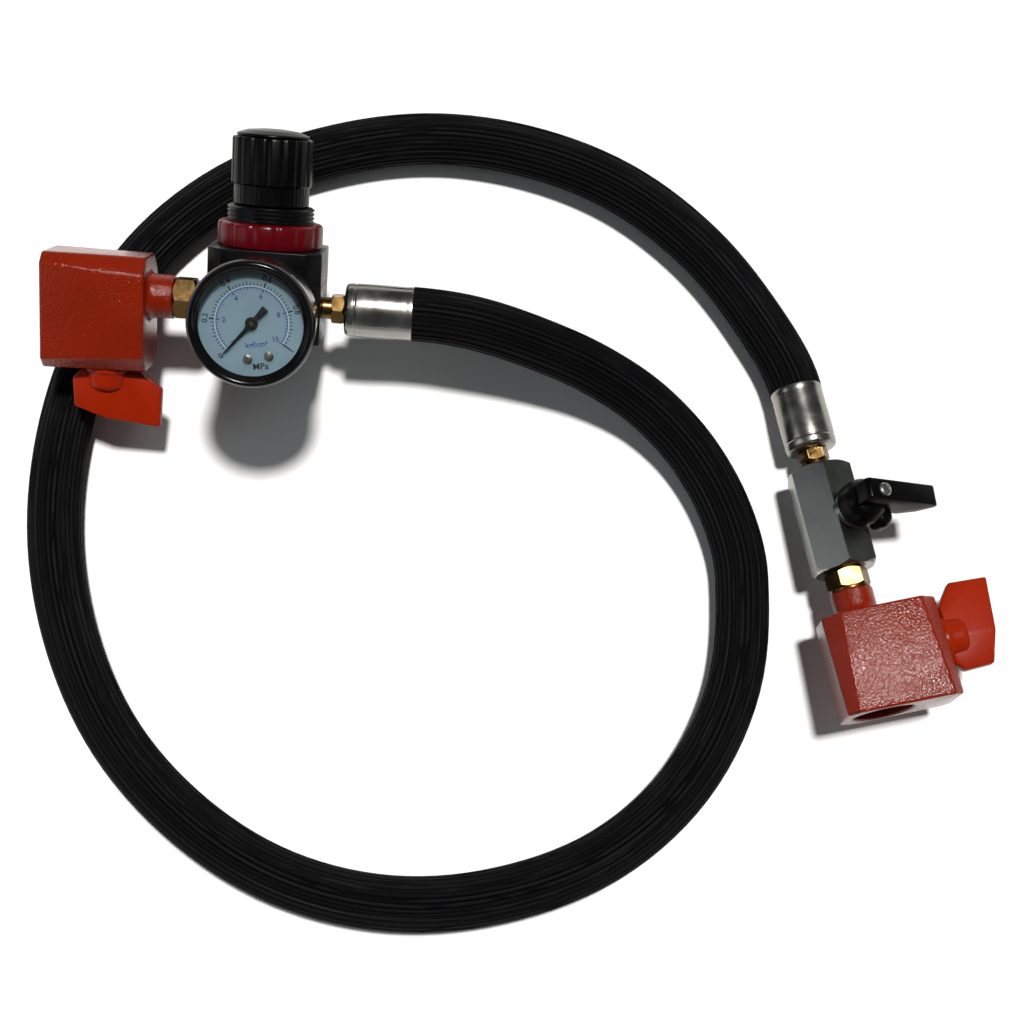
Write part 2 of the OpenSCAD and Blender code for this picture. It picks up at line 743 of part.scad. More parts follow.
inlet_coupler_body();
inlet_coupler_seal();
inlet_clamp_pad();
inlet_clamp_screw();
inlet_wing_knob();
inlet_nipple();
color(plastic) at_left() regulator_body();
color(plastic) at_left() regulator_bonnet();
color(ring_red) at_left() lock_ring();
color(plastic) at_left() pressure_knob();
color(plastic) at_left() knob_cap();
color(steel) at_left() adjusting_screw();
color(brass) at_left() spring_seat_nut();
color(steel) at_left() adjusting_spring();
color(rubber) at_left() diaphragm();
color(steel) at_left() diaphragm_plate();
color(brass) at_left() valve_poppet();
color(steel) at_left() poppet_spring();
color(plastic) at_left() bottom_plug();
color(rubber) at_left() bottom_plug_oring();
color(steel) at_left() rear_port_plug();
color(brass) at_gauge() gauge_socket();
color(plastic) at_gauge() gauge_case();
color(plastic) at_gauge() gauge_bezel();
color(clear) at_gauge() gauge_lens();
color(dial_white) at_gauge() gauge_dial();
color(chrome) at_gauge() dial_screw(-1);  // dial_screw_left
color(chrome) at_gauge() dial_screw(1);  // dial_screw_right
color(plastic) at_gauge() gauge_pointer();
color(brass) at_gauge() pointer_arbor();
color(brass) at_gauge() sector_gear();
color(brass) at_gauge() movement_back_plate();
color(brass) at_gauge() movement_front_plate();
color(brass) at_gauge() bourdon_tube();
color(brass) at_inlet_tail() hose_tail();  // inlet_hose_tail
color(steel) at_inlet_tail() ferrule();  // inlet_ferrule
color(rubber) at_inlet_tail() hose_end();  // inlet_hose_end
color(rubber) hose_tube();  // hose
color(rubber) at_outlet_tail() hose_end();  // outlet_hose_end
color(steel) at_outlet_tail() ferrule();  // outlet_ferrule
color(brass) at_outlet_tail() hose_tail();  // outlet_hose_tail
color(chrome) at_valve() valve_body();
color(chrome) at_valve() valve_end_insert();
color(chrome) at_valve() valve_ball();
color(clear) at_valve() ball_seat(1);  // ball_seat_upstream
color(clear) at_valve() ball_seat(0);  // ball_seat_downstream
color(brass) at_valve() valve_stem();
color(rubber) at_valve() stem_oring();
color(plastic) at_valve() valve_lever();
color(steel) at_valve() lever_screw();
outlet_nipple();
outlet_coupler_body();
outlet_coupler_seal();
outlet_clamp_pad();
outlet_clamp_screw();
outlet_wing_knob();
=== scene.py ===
import json
import math

import bmesh
import bpy
from mathutils import Matrix, Vector


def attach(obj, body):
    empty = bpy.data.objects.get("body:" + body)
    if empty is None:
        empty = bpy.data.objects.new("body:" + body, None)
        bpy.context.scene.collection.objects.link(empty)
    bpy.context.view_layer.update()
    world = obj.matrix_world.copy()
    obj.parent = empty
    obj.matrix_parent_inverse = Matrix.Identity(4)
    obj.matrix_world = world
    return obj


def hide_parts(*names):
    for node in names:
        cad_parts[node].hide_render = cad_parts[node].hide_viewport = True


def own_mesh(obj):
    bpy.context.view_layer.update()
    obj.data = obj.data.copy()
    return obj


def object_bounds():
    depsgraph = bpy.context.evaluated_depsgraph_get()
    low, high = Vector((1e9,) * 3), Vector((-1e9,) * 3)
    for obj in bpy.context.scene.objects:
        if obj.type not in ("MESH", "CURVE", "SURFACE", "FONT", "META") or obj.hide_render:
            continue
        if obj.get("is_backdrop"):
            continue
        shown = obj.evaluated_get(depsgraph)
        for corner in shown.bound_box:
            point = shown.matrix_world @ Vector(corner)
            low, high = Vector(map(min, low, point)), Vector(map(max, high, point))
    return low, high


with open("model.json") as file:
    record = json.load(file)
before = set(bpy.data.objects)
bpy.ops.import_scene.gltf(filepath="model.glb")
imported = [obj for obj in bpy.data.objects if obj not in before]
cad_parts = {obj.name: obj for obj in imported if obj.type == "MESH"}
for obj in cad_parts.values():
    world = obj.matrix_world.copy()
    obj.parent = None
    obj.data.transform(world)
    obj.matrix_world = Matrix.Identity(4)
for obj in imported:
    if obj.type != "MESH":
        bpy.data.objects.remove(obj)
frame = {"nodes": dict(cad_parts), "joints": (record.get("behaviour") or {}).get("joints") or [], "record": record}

bl_info = {
    "name": "Regulated air transfer hose",
    "version": (1, 0, 0),
    "blender": (4, 5, 0),
    "location": "3D View > Sidebar > Air hose",
    "description": "Builds the visible pieces of an air transfer hose over its CAD frame",
    "category": "Object",
}

CAD_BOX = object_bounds()
JOINTS = {joint["name"]: joint for joint in frame["joints"]}
MOUNTS = {mount["name"]: mount for mount in frame["record"]["mounts"]}

# ---- sizes in millimetres, as the frame has them ----
BORE = 11.2
BORE_DEPTH = 22
BLOCK = (36.5, 41.5, 27)
PLAIN_SIDE = 14.5
KNOB_SIDE = 27
CLAMP_AT = 21.5
SPIGOT = 7.9
SPIGOT_LENGTH = 9
FERRULE = 25
FERRULE_R = 9.8
TAIL_RUN = 7.8
HOSE_R = 10
BODY_TOP = 21
RING_HEIGHT = 8.7
KNOB_Z = 35.5
KNOB_TOP = 62
NECK_R = 15
GAUGE_R = 21.5
GAUGE_BACK = 27
GAUGE_FRONT = 51
DIAL_TOP = 45.1
LENS_BACK = 47
LENS_FRONT = 48.5
ZERO_ANGLE = 230
SCALE_SWEEP = 262
DIAL_TURN = 12
VALVE_HALF = 20
VALVE_AF = 22
LEVER_TOP = 31.5
LEVER_REST = 7
NIPPLE_AF = 14
NIPPLE_HEX = 8


# ---- places ----
def placed(origin, x, y, z):
    """The matrix that takes millimetres along x, y and z to metres in the frame."""
    space = Matrix.Identity(4)
    for column, axis in enumerate((x, y, z)):
        for row in range(3):
            space[row][column] = axis[row]
    space.translation = origin
    return space @ Matrix.Scale(0.001, 4)


def coupler_space(side):
    """Bore along X from its mouth, wing towards -Y."""
    mount = MOUNTS[f"{side}_bore"]
    x = -Vector(mount["axis"]).normalized()
    z = x.cross(Vector(JOINTS[f"{side}_wing_turn"]["axis"])).normalized()
    return placed(mount["pos_m"], x, z.cross(x), z)


def regulator_space():
    """Flow along X, knob towards Z, gauge towards -Y."""
    z = -Vector(JOINTS["pressure_turn"]["axis"]).normalized()
    y = -Vector(JOINTS["pointer_turn"]["axis"]).normalized()
    x = y.cross(z).normalized()
    return placed(Vector(JOINTS["pressure_turn"]["pos_m"]) - 0.05 * z, x, z.cross(x), z)


def valve_space():
    """Pipe along X towards the outlet, stem along Z."""
    z = -Vector(JOINTS["lever_turn"]["axis"]).normalized()
    x = Vector(MOUNTS["outlet_bore"]["axis"])
    y = z.cross(x).normalized()
    return placed(Vector(JOINTS["lever_turn"]["pos_m"]) - 0.014 * z, y.cross(z), y, z)


def shift(x=0.0, y=0.0, z=0.0):
    return Matrix.Translation((x, y, z))


def turn(degrees, axis):
    return Matrix.Rotation(math.radians(degrees), 4, axis)


ALONG_X = turn(90, "Y")
OUTWARD = shift(CLAMP_AT) @ turn(90, "X")
REGULATOR = regulator_space()
GAUGE = REGULATOR @ turn(90, "X")
VALVE = valve_space()
OUTLET_PIPE = VALVE @ turn(30, "X") @ shift(-TAIL_RUN - FERRULE - VALVE_HALF)
INLET_TAIL = REGULATOR @ shift(20)
OUTLET_TAIL = OUTLET_PIPE @ shift(TAIL_RUN + FERRULE) @ turn(180, "Z")


# ---- shapes ----
def outward(bm):
    bmesh.ops.remove_doubles(bm, verts=bm.verts, dist=0.0005)
    bmesh.ops.recalc_face_normals(bm, faces=bm.faces)
    return bm


def softened(points, radius, steps=4):
    """A profile with its corners rounded; a corner may have its own radius as a third number."""
    out = []
    for i, point in enumerate(points):
        here = Vector(point[:2])
        r = point[2] if len(point) > 2 else radius
        before = Vector(points[i - 1][:2]) - here
        after = Vector(points[(i + 1) % len(points)][:2]) - here
        reach = min(r, 0.45 * before.length, 0.45 * after.length)
        if here.x < 0.01 or reach < 0.01:
            out.append(tuple(here))
            continue
        a, b = here + before.normalized() * reach, here + after.normalized() * reach
        for k in range(steps + 1):
            t = k / steps
            out.append(tuple(a * (1 - t) ** 2 + here * 2 * t * (1 - t) + b * t * t))
    return out


def lathe(points, radius=0.0, steps=72, closed=True):
    """A solid turned round Z from a profile of radius and height."""
    bm = bmesh.new()
    if radius:
        points = softened(points, radius)
    verts = [bm.verts.new((p[0], 0, p[1])) for p in points]
    pairs = list(zip(verts, verts[1:] + verts[:1]))
    edges = [bm.edges.new(p) for p in pairs if p[0].co.x > 0.001 or p[1].co.x > 0.001]
    bmesh.ops.spin(bm, geom=verts + edges, cent=(0, 0, 0), axis=(0, 0, 1), angle=math.tau,
                   steps=steps, use_merge=True)
    return outward(bm)


def prism(outline, low, high, bevel=0.0, segments=3):
    """An outline in X and Y, raised along Z."""
    bm = bmesh.new()
    face = bm.faces.new([bm.verts.new((p[0], p[1], low)) for p in outline])
    raised = bmesh.ops.extrude_face_region(bm, geom=[face])["geom"]
    bmesh.ops.translate(bm, vec=(0, 0, high - low), verts=[v for v in raised if isinstance(v, bmesh.types.BMVert)])
    outward(bm)
    if bevel:
        rounded_edges(bm, bevel, segments)
    return bm


def rounded_edges(bm, offset, segments=3, steepest=25):
    sharp = [e for e in bm.edges if e.is_manifold and e.calc_face_angle() > math.radians(steepest)]
    bmesh.ops.bevel(bm, geom=sharp, offset=offset, offset_type="OFFSET", segments=segments, profile=0.5,
                    affect="EDGES", material=-1, clamp_overlap=True)
    return bm


def moved(bm, *steps):
    for step in steps:
        bmesh.ops.transform(bm, matrix=step, verts=bm.verts)
    return bm


def cut_square(w, d, c):
    x, y = w / 2, d / 2
    return [(x - c, -y), (x, c - y), (x, y - c), (x - c, y), (c - x, y), (-x, y - c), (-x, c - y), (c - x, -y)]


def ring_of(count, radius_at, z):
    """A closed ring of corners round Z, whose radius may change with the angle."""
    out = []
    for i in range(count):
        a = math.tau * i / count
        r = radius_at(a)
        out.append(Vector((r * math.cos(a), r * math.sin(a), z)))
    return out


def loft(rings, closed=False):
    """A skin drawn through rings of equal count, by extruding each ring to the next."""
    bm = bmesh.new()
    row = [bm.verts.new(co) for co in rings[0]]
    edges = [bm.edges.new(p) for p in zip(row, row[1:] + row[:1])]
    if not closed:
        bm.faces.new(row)
    for ring in rings[1:]:
        place = {v: i for i, v in enumerate(row)}
        made = bmesh.ops.extrude_edge_only(bm, edges=edges)["geom"]
        row = [None] * len(ring)
        for v in (g for g in made if isinstance(g, bmesh.types.BMVert)):
            old = next(e.other_vert(v) for e in v.link_edges if e.other_vert(v) in place)
            row[place[old]] = v
        edges = [g for g in made if isinstance(g, bmesh.types.BMEdge)]
        edges = [e for e in edges if all(v not in place for v in e.verts)]
        for v, co in zip(row, ring):
            v.co = co
    if not closed:
        bm.faces.new(row)
    return outward(bm)


def piece_from(name, bm):
    mesh = bpy.data.meshes.new(name)
    bm.to_mesh(mesh)
    bm.free()
    piece = bpy.data.objects.new(name, mesh)
    bpy.context.scene.collection.objects.link(piece)
    return piece


def settled(piece):
    """Applies a piece's modifiers to its mesh."""
    bpy.context.view_layer.update()
    shaped = piece.evaluated_get(bpy.context.evaluated_depsgraph_get())
    mesh = bpy.data.meshes.new_from_object(shaped)
    piece.modifiers.clear()
    old, piece.data = piece.data, mesh
    bpy.data.meshes.remove(old)
    return piece


def carved(piece, *tools):
    """Cuts, joins or crosses a piece with each (how, bmesh) in turn."""
    for how, bm in tools:
        tool = piece_from("tool", bm)
        change = piece.modifiers.new(how, "BOOLEAN")
        change.operation, change.solver, change.object = how, "EXACT", tool
        settled(piece)
        mesh = tool.data
        bpy.data.objects.remove(tool)
        bpy.data.meshes.remove(mesh)
    return piece


def edge_rounded(piece, width, segments=2, steepest=30):
    change = piece.modifiers.new("rounding", "BEVEL")
    change.width, change.segments, change.limit_method = width, segments, "ANGLE"
    change.angle_limit, change.use_clamp_overlap, change.profile = math.radians(steepest), True, 0.5
    change.miter_outer = "MITER_ARC"
    return settled(piece)


def hexagon(af, low, high, chamfer=0.8, bevel=0.15):
    """A hexagon along Z, chamfered at both ends, with a flat facing X."""
    corner = af / math.sqrt(3)
    outline = [(corner * math.cos(math.radians(60 * i + 30)), corner * math.sin(math.radians(60 * i + 30))) for i in range(6)]
    bar = piece_from("hexagon", prism(outline, low, high))
    rim = af / 2 * 0.985
    carved(bar, ("INTERSECT", lathe([(0, low), (rim, low), (corner + 0.02, low + chamfer),
                                     (corner + 0.02, high - chamfer), (rim, high), (0, high)], steps=96)))
    edge_rounded(bar, bevel, 2, 25)
    return taken(bar)


def taken(piece):
    """Turns a helper piece back into a bmesh."""
    bm = bmesh.new()
    bm.from_mesh(piece.data)
    mesh = piece.data
    bpy.data.objects.remove(piece)
    bpy.data.meshes.remove(mesh)
    return bm


def merged(*parts):
    """Several closed shells as one bmesh."""
    whole = bmesh.new()
    for part in parts:
        mesh = bpy.data.meshes.new("part")
        part.to_mesh(mesh)
        part.free()
        whole.from_mesh(mesh)
        bpy.data.meshes.remove(mesh)
    return whole


def mark_edges(mesh, space_scale=1.0, largest=6.0):
    """Gives the mesh an attribute that is 1 in the middle of its rounded outer edges."""
    bm = bmesh.new()
    bm.from_mesh(mesh)
    layer = bm.verts.layers.float.get("edge") or bm.verts.layers.float.new("edge")
    for v in bm.verts:
        small = all(f.calc_area() * space_scale ** 2 < largest for f in v.link_faces)
        bent = any(e.is_manifold and e.is_convex and e.calc_face_angle() > 0.15 for e in v.link_edges)
        v[layer] = 1.0 if small and bent else 0.0
    bm.to_mesh(mesh)
    bm.free()


def finished(piece, space, material, body, slot, *nodes, smooth=32):
    """Places a piece, gives it its finish and its body, and lets it stand for CAD nodes."""
    mark_edges(piece.data)
    piece.data.transform(space)
    piece.data.shade_smooth()
    piece.data.set_sharp_from_angle(angle=math.radians(smooth))
    piece.data.materials.clear()
    piece.data.materials.append(material)
    piece.data.update()
    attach(piece, body)
    if nodes:
        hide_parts(*nodes)
    return piece


# ---- finishes ----
def group_of(name, inputs, outputs):
    tree = bpy.data.node_groups.new(name, "ShaderNodeTree")
    for label, value in inputs:
        tree.interface.new_socket(name=label, in_out="INPUT", socket_type="NodeSocketFloat").default_value = value
    for label in outputs:
        tree.interface.new_socket(name=label, in_out="OUTPUT", socket_type="NodeSocketFloat")
    return tree, tree.nodes.new("NodeGroupInput"), tree.nodes.new("NodeGroupOutput")


def node(tree, kind, **values):
    made = tree.nodes.new(kind)
    for key, value in values.items():
        if hasattr(made, key):
            setattr(made, key, value)
        else:
            made.inputs[key.replace("_", " ")].default_value = value
    return made


def sum_of(tree, kind, a, b):
    """A Math node of two sockets or numbers."""
    made = node(tree, "ShaderNodeMath", operation=kind)
    for i, value in enumerate((a, b)):
        if isinstance(value, (int, float)):
            made.inputs[i].default_value = value
        else:
            tree.links.new(value, made.inputs[i])
    return made.outputs[0]


def cast_skin_group():
    """A grainy skin: fine height, and a slow drift for colour and gloss."""
    tree, start, end = group_of("Cast skin", [("Grain", 900.0), ("Drift", 60.0), ("Dimples", 0.0)], ["Height", "Shade"])
    place = node(tree, "ShaderNodeTexCoord").outputs["Object"]
    grain = node(tree, "ShaderNodeTexNoise", Detail=3.0, Roughness=0.6)
    drift = node(tree, "ShaderNodeTexNoise", Detail=2.0)
    cells = node(tree, "ShaderNodeTexVoronoi", feature="SMOOTH_F1", Smoothness=0.6)
    for texture, scale in ((grain, "Grain"), (drift, "Drift"), (cells, "Grain")):
        tree.links.new(place, texture.inputs["Vector"])
        tree.links.new(start.outputs[scale], texture.inputs["Scale"])
    dimples = sum_of(tree, "MULTIPLY", cells.outputs["Distance"], start.outputs["Dimples"])
    tree.links.new(sum_of(tree, "ADD", grain.outputs["Fac"], dimples), end.inputs["Height"])
    tree.links.new(drift.outputs["Fac"], end.inputs["Shade"])
    return tree


def worn_edge_group():
    """A mask of chips and rubbing along the rounded edges."""
    tree, start, end = group_of("Worn edge", [("Amount", 0.5), ("Chips", 350.0)], ["Mask"])
    edge = node(tree, "ShaderNodeAttribute", attribute_name="edge")
    chips = node(tree, "ShaderNodeTexNoise", Detail=4.0)
    tree.links.new(node(tree, "ShaderNodeTexCoord").outputs["Object"], chips.inputs["Vector"])
    tree.links.new(start.outputs["Chips"], chips.inputs["Scale"])
    level = sum_of(tree, "SUBTRACT", 1.0, start.outputs["Amount"])
    over = sum_of(tree, "SUBTRACT", chips.outputs["Fac"], sum_of(tree, "MULTIPLY", level, 0.75))
    chipped = sum_of(tree, "MULTIPLY", over, 9.0)
    tree.nodes[-1].use_clamp = True
    tree.links.new(sum_of(tree, "MULTIPLY", chipped, edge.outputs["Fac"]), end.inputs["Mask"])
    return tree


def hose_ribs_group():
    """Streaks along a hose from its UV map: U runs along it in metres, V round it."""
    tree, start, end = group_of("Hose ribs", [("Streaks", 34.0), ("Dust", 0.5)], ["Streak", "Film"])
    uv = node(tree, "ShaderNodeUVMap", uv_map="UVMap").outputs["UV"]
    parts = node(tree, "ShaderNodeSeparateXYZ")
    tree.links.new(uv, parts.inputs[0])
    along = sum_of(tree, "MULTIPLY", parts.outputs["X"], 9.0)
    around = sum_of(tree, "MULTIPLY", parts.outputs["Y"], start.outputs["Streaks"])
    line = node(tree, "ShaderNodeCombineXYZ")
    tree.links.new(along, line.inputs["X"])
    tree.links.new(around, line.inputs["Y"])
    streak = node(tree, "ShaderNodeTexNoise", Scale=1.0, Detail=2.0, Roughness=0.65)
    tree.links.new(line.outputs[0], streak.inputs["Vector"])
    tree.links.new(streak.outputs["Fac"], end.inputs["Streak"])
    film = node(tree, "ShaderNodeTexNoise", Scale=45.0, Detail=5.0)
    tree.links.new(node(tree, "ShaderNodeTexCoord").outputs["Object"], film.inputs["Vector"])
    tree.links.new(sum_of(tree, "MULTIPLY", film.outputs["Fac"], start.outputs["Dust"]), end.inputs["Film"])
    return tree


GROUPS = {}
FINISHES = {}


def placed_group(tree, name, **values):
    made = tree.nodes.new("ShaderNodeGroup")
    made.node_tree = GROUPS[name]
    for key, value in values.items():
        made.inputs[key].default_value = value
    return made


def ramp(tree, source, low, high, start, end):
    """Maps a socket from low..high to start..end, clamped."""
    made = node(tree, "ShaderNodeMapRange")
    tree.links.new(source, made.inputs["Value"])
    for key, value in (("From Min", low), ("From Max", high), ("To Min", start), ("To Max", end)):
        made.inputs[key].default_value = value
    return made.outputs[0]


def blended(tree, mask, first, second):
    """A colour that goes from first to second with the mask; each is a colour or a socket."""
    made = node(tree, "ShaderNodeMix", data_type="RGBA")
    tree.links.new(mask, made.inputs["Factor"])
    for key, value in (("A", first), ("B", second)):
        socket = next(s for s in made.inputs if s.name == key and s.type == "RGBA")
        if isinstance(value, bpy.types.NodeSocket):
            tree.links.new(value, socket)
        else:
            socket.default_value = (*value[:3], 1)
    return next(s for s in made.outputs if s.type == "RGBA")


def finish(name, color, rough, *, metallic=0.0, coat=0.0, coat_rough=0.08, grain=900.0, drift=60.0, dimples=0.0,
           depth=0.00002, strength=0.4, mottle=0.12, gloss_spread=0.08, wear=0.0, wear_color=(0.02, 0.015, 0.012),
           wear_rough=0.6, specular=0.5, chips=350.0):
    """A surface with grain, a slow drift of colour and gloss, and rubbed edges."""
    material = bpy.data.materials.new(name)
    material.use_nodes = True
    tree = material.node_tree
    shader = tree.nodes["Principled BSDF"]
    shader.inputs["Metallic"].default_value = metallic
    shader.inputs["Coat Weight"].default_value = coat
    shader.inputs["Coat Roughness"].default_value = coat_rough
    shader.inputs["Specular IOR Level"].default_value = specular
    skin = placed_group(tree, "Cast skin", Grain=grain, Drift=drift, Dimples=dimples)
    dark = [c * (1 - mottle) for c in color]
    light = [min(1.0, c * (1 + mottle)) for c in color]
    shade = ramp(tree, skin.outputs["Shade"], 0.3, 0.7, 0, 1)
    base = blended(tree, shade, dark, light)
    gloss = ramp(tree, skin.outputs["Shade"], 0.3, 0.7, rough - gloss_spread, rough + gloss_spread)
    if wear:
        mask = placed_group(tree, "Worn edge", Amount=wear, Chips=chips).outputs["Mask"]
        base = blended(tree, mask, base, wear_color)
        mixed = node(tree, "ShaderNodeMix", data_type="FLOAT")
        tree.links.new(mask, mixed.inputs[0])
        tree.links.new(gloss, mixed.inputs[2])
        mixed.inputs[3].default_value = wear_rough
        gloss = mixed.outputs[0]
    tree.links.new(base, shader.inputs["Base Color"])
    tree.links.new(gloss, shader.inputs["Roughness"])
    bump = node(tree, "ShaderNodeBump", Strength=strength, Distance=depth)
    tree.links.new(skin.outputs["Height"], bump.inputs["Height"])
    tree.links.new(bump.outputs["Normal"], shader.inputs["Normal"])
    FINISHES[name] = material
    return material


def hose_finish(color, streak_and_sheen_color):
    material = bpy.data.materials.new("ribbed_rubber")
    material.use_nodes = True
    tree = material.node_tree
    shader = tree.nodes["Principled BSDF"]
    ribs = placed_group(tree, "Hose ribs", Streaks=64.0, Dust=1.0)
    # Lighter rib streaks painted into the base colour: partly rubbed rubber, partly a painted highlight along the ribs.
    streak_and_sheen_mask = ramp(tree, ribs.outputs["Streak"], 0.60, 0.76, 0, 1)
    film = ramp(tree, ribs.outputs["Film"], 0.5, 0.8, 0, 0.15)
    base = blended(tree, streak_and_sheen_mask, color, streak_and_sheen_color)
    base = blended(tree, film, base, [0.5 * a + 0.5 * b for a, b in zip(color, streak_and_sheen_color)])
    tree.links.new(base, shader.inputs["Base Color"])
    tree.links.new(ramp(tree, ribs.outputs["Streak"], 0.35, 0.7, 0.68, 0.5), shader.inputs["Roughness"])
    shader.inputs["Specular IOR Level"].default_value = 0.06
    bump = node(tree, "ShaderNodeBump", Strength=0.5, Distance=0.0002)
    tree.links.new(ribs.outputs["Streak"], bump.inputs["Height"])
    tree.links.new(bump.outputs["Normal"], shader.inputs["Normal"])
    FINISHES["ribbed_rubber"] = material
    return material


def lens_finish():
    """Clear plastic that lets light through to the dial."""
    material = bpy.data.materials.new("clear_lens")
    material.use_nodes = True
    tree = material.node_tree
    shader = tree.nodes["Principled BSDF"]
    shader.inputs["Base Color"].default_value = (0.96, 0.98, 0.98, 1)
    shader.inputs["Transmission Weight"].default_value = 1.0
    shader.inputs["IOR"].default_value = 1.45
    skin = placed_group(tree, "Cast skin", Grain=700.0, Drift=90.0)
    tree.links.new(ramp(tree, skin.outputs["Shade"], 0.35, 0.75, 0.0, 0.01), shader.inputs["Roughness"])
    clear = node(tree, "ShaderNodeBsdfTransparent")
    clear.inputs["Color"].default_value = (0.95, 0.97, 0.97, 1)
    shared = node(tree, "ShaderNodeMixShader")
    tree.links.new(node(tree, "ShaderNodeLightPath").outputs["Is Shadow Ray"], shared.inputs[0])
    tree.links.new(shader.outputs[0], shared.inputs[1])
    tree.links.new(clear.outputs[0], shared.inputs[2])
    tree.links.new(shared.outputs[0], tree.nodes["Material Output"].inputs["Surface"])
    FINISHES["clear_lens"] = material
    return material


# ---- what a user may change ----
class HoseColours(bpy.types.PropertyGroup):
    """Colours of the painted, moulded and rubber pieces"""
    paint: bpy.props.FloatVectorProperty(name="Coupler paint", description="Colour of the painted couplers",
                                         default=(0.185, 0.0105, 0.0012), size=3, subtype="COLOR", min=0, max=1)
    wing: bpy.props.FloatVectorProperty(name="Wings", description="Colour of the moulded wing knobs",
                                        default=(0.27, 0.0135, 0.001), size=3, subtype="COLOR", min=0, max=1)
    rubber: bpy.props.FloatVectorProperty(name="Hose rubber", description="Colour of the hose between its ribs",
                                          default=(0.0012, 0.0012, 0.0017), size=3, subtype="COLOR", min=0, max=1)
    # The rib streak colour is partly rubbed rubber and partly a painted highlight along the ribs.
    streak: bpy.props.FloatVectorProperty(name="Rib streaks", description="Colour of the rubbed ribs",
                                          default=(0.013, 0.0135, 0.0165), size=3, subtype="COLOR", min=0, max=1)
    ring: bpy.props.FloatVectorProperty(name="Lock ring", description="Colour of the regulator's lock ring",
                                        default=(0.088, 0.0008, 0.0036), size=3, subtype="COLOR", min=0, max=1)
    dial: bpy.props.FloatVectorProperty(name="Dial", description="Colour of the gauge's face",
                                        default=(0.070, 0.100, 0.121), size=3, subtype="COLOR", min=0, max=1)


class HoseSizes(bpy.types.PropertyGroup):
    """Sizes of the details that the CAD frame leaves open"""
    ribs: bpy.props.IntProperty(name="Ribs", description="Ribs round the hose", default=32, min=12, max=48)
    rib_depth: bpy.props.FloatProperty(name="Rib depth", description="Depth of the grooves between ribs",
                                       default=0.0004, min=0, max=0.001, unit="LENGTH")
    edge: bpy.props.FloatProperty(name="Casting edge", description="Rounding of the coupler's edges",
                                  default=0.0009, min=0.0003, max=0.002, unit="LENGTH")
    scallops: bpy.props.IntProperty(name="Scallops", description="Scallops round the lock ring", default=14, min=8, max=24)
    flutes: bpy.props.IntProperty(name="Flutes", description="Flutes round the pressure knob", default=16, min=8, max=36)


class AIRHOSE_OT_finishes(bpy.types.Operator):
    """Makes the surface groups and every finish"""
    bl_idname = "airhose.finishes"
    bl_label = "Finishes"

    def execute(self, context):
        colours = context.scene.airhose_colours
        GROUPS["Cast skin"] = cast_skin_group()
        GROUPS["Worn edge"] = worn_edge_group()
        GROUPS["Hose ribs"] = hose_ribs_group()
        finish("orange_paint", colours.paint, 0.11, grain=1350, drift=45, dimples=0.8, depth=0.0002, strength=0.9,
               mottle=0.08, gloss_spread=0.03, specular=0.28, wear=0.36, wear_color=(0.012, 0.004, 0.003), wear_rough=0.5)
        finish("wing_plastic", colours.wing, 0.36, grain=1500, depth=0.00004, strength=0.25, mottle=0.05,
               wear=0.2, wear_color=(0.5, 0.12, 0.06), wear_rough=0.5, specular=0.09)
        finish("seal_rubber", (0.006, 0.006, 0.0065), 0.6, grain=1500, depth=0.00005)
        finish("zinc_steel", (0.42, 0.43, 0.42), 0.34, metallic=1, grain=1200, depth=0.00003, mottle=0.18,
               wear=0.3, wear_color=(0.6, 0.59, 0.56), wear_rough=0.25)
        finish("brass", (0.135, 0.082, 0.029), 0.3, metallic=1, grain=700, drift=150, depth=0.00003, mottle=0.22,
               gloss_spread=0.1, wear=0.2, wear_color=(0.3, 0.21, 0.1), wear_rough=0.3)
        finish("black_casting", (0.0022, 0.0022, 0.0026), 0.34, grain=1600, depth=0.00006, strength=0.35,
               mottle=0.2, wear=0.2, wear_color=(0.02, 0.02, 0.02), wear_rough=0.35, specular=0.12)
        finish("black_plastic", (0.001, 0.001, 0.0013), 0.34, grain=1800, depth=0.00005, strength=0.3, mottle=0.2,
               specular=0.12)
        finish("red_ring", colours.ring, 0.3, grain=1300, depth=0.00004, mottle=0.08, specular=0.16)
        finish("black_enamel", (0.0022, 0.0022, 0.0026), 0.18, grain=350, drift=120, depth=0.00004, strength=0.15,
               mottle=0.2, specular=0.3)
        finish("dial_print", colours.dial, 0.5, grain=2500, drift=80, depth=0.00001, strength=0.1, mottle=0.03,
               specular=0.1)
        finish("print_black", (0.0012, 0.0012, 0.0018), 0.6, grain=2500, depth=0.00001, strength=0.1, mottle=0.1,
               specular=0.05)
        finish("print_blue", (0.004, 0.016, 0.085), 0.6, grain=2500, depth=0.00001, strength=0.1, mottle=0.1,
               specular=0.05)
        finish("print_white", (0.12, 0.155, 0.18), 0.5, grain=2500, depth=0.00001, strength=0.1, mottle=0.03)
        finish("pointer_black", (0.002, 0.002, 0.0024), 0.4, grain=2000, depth=0.00002, mottle=0.15, specular=0.08)
        finish("polished_steel", (0.30, 0.29, 0.27), 0.26, metallic=1, grain=500, drift=130, depth=0.00003,
               strength=0.25, mottle=0.14, gloss_spread=0.07, wear=0.3, wear_color=(0.3, 0.28, 0.25), wear_rough=0.4)
        finish("chrome", (0.225, 0.232, 0.22), 0.28, metallic=1, grain=900, drift=110, depth=0.00003, strength=0.2,
               mottle=0.04, gloss_spread=0.03, wear=0.35, wear_color=(0.55, 0.55, 0.53), wear_rough=0.2)
        finish("seat_plastic", (0.75, 0.75, 0.72), 0.45, grain=1500, depth=0.00003)
        hose_finish(colours.rubber, colours.streak)
        lens_finish()
        return {"FINISHED"}


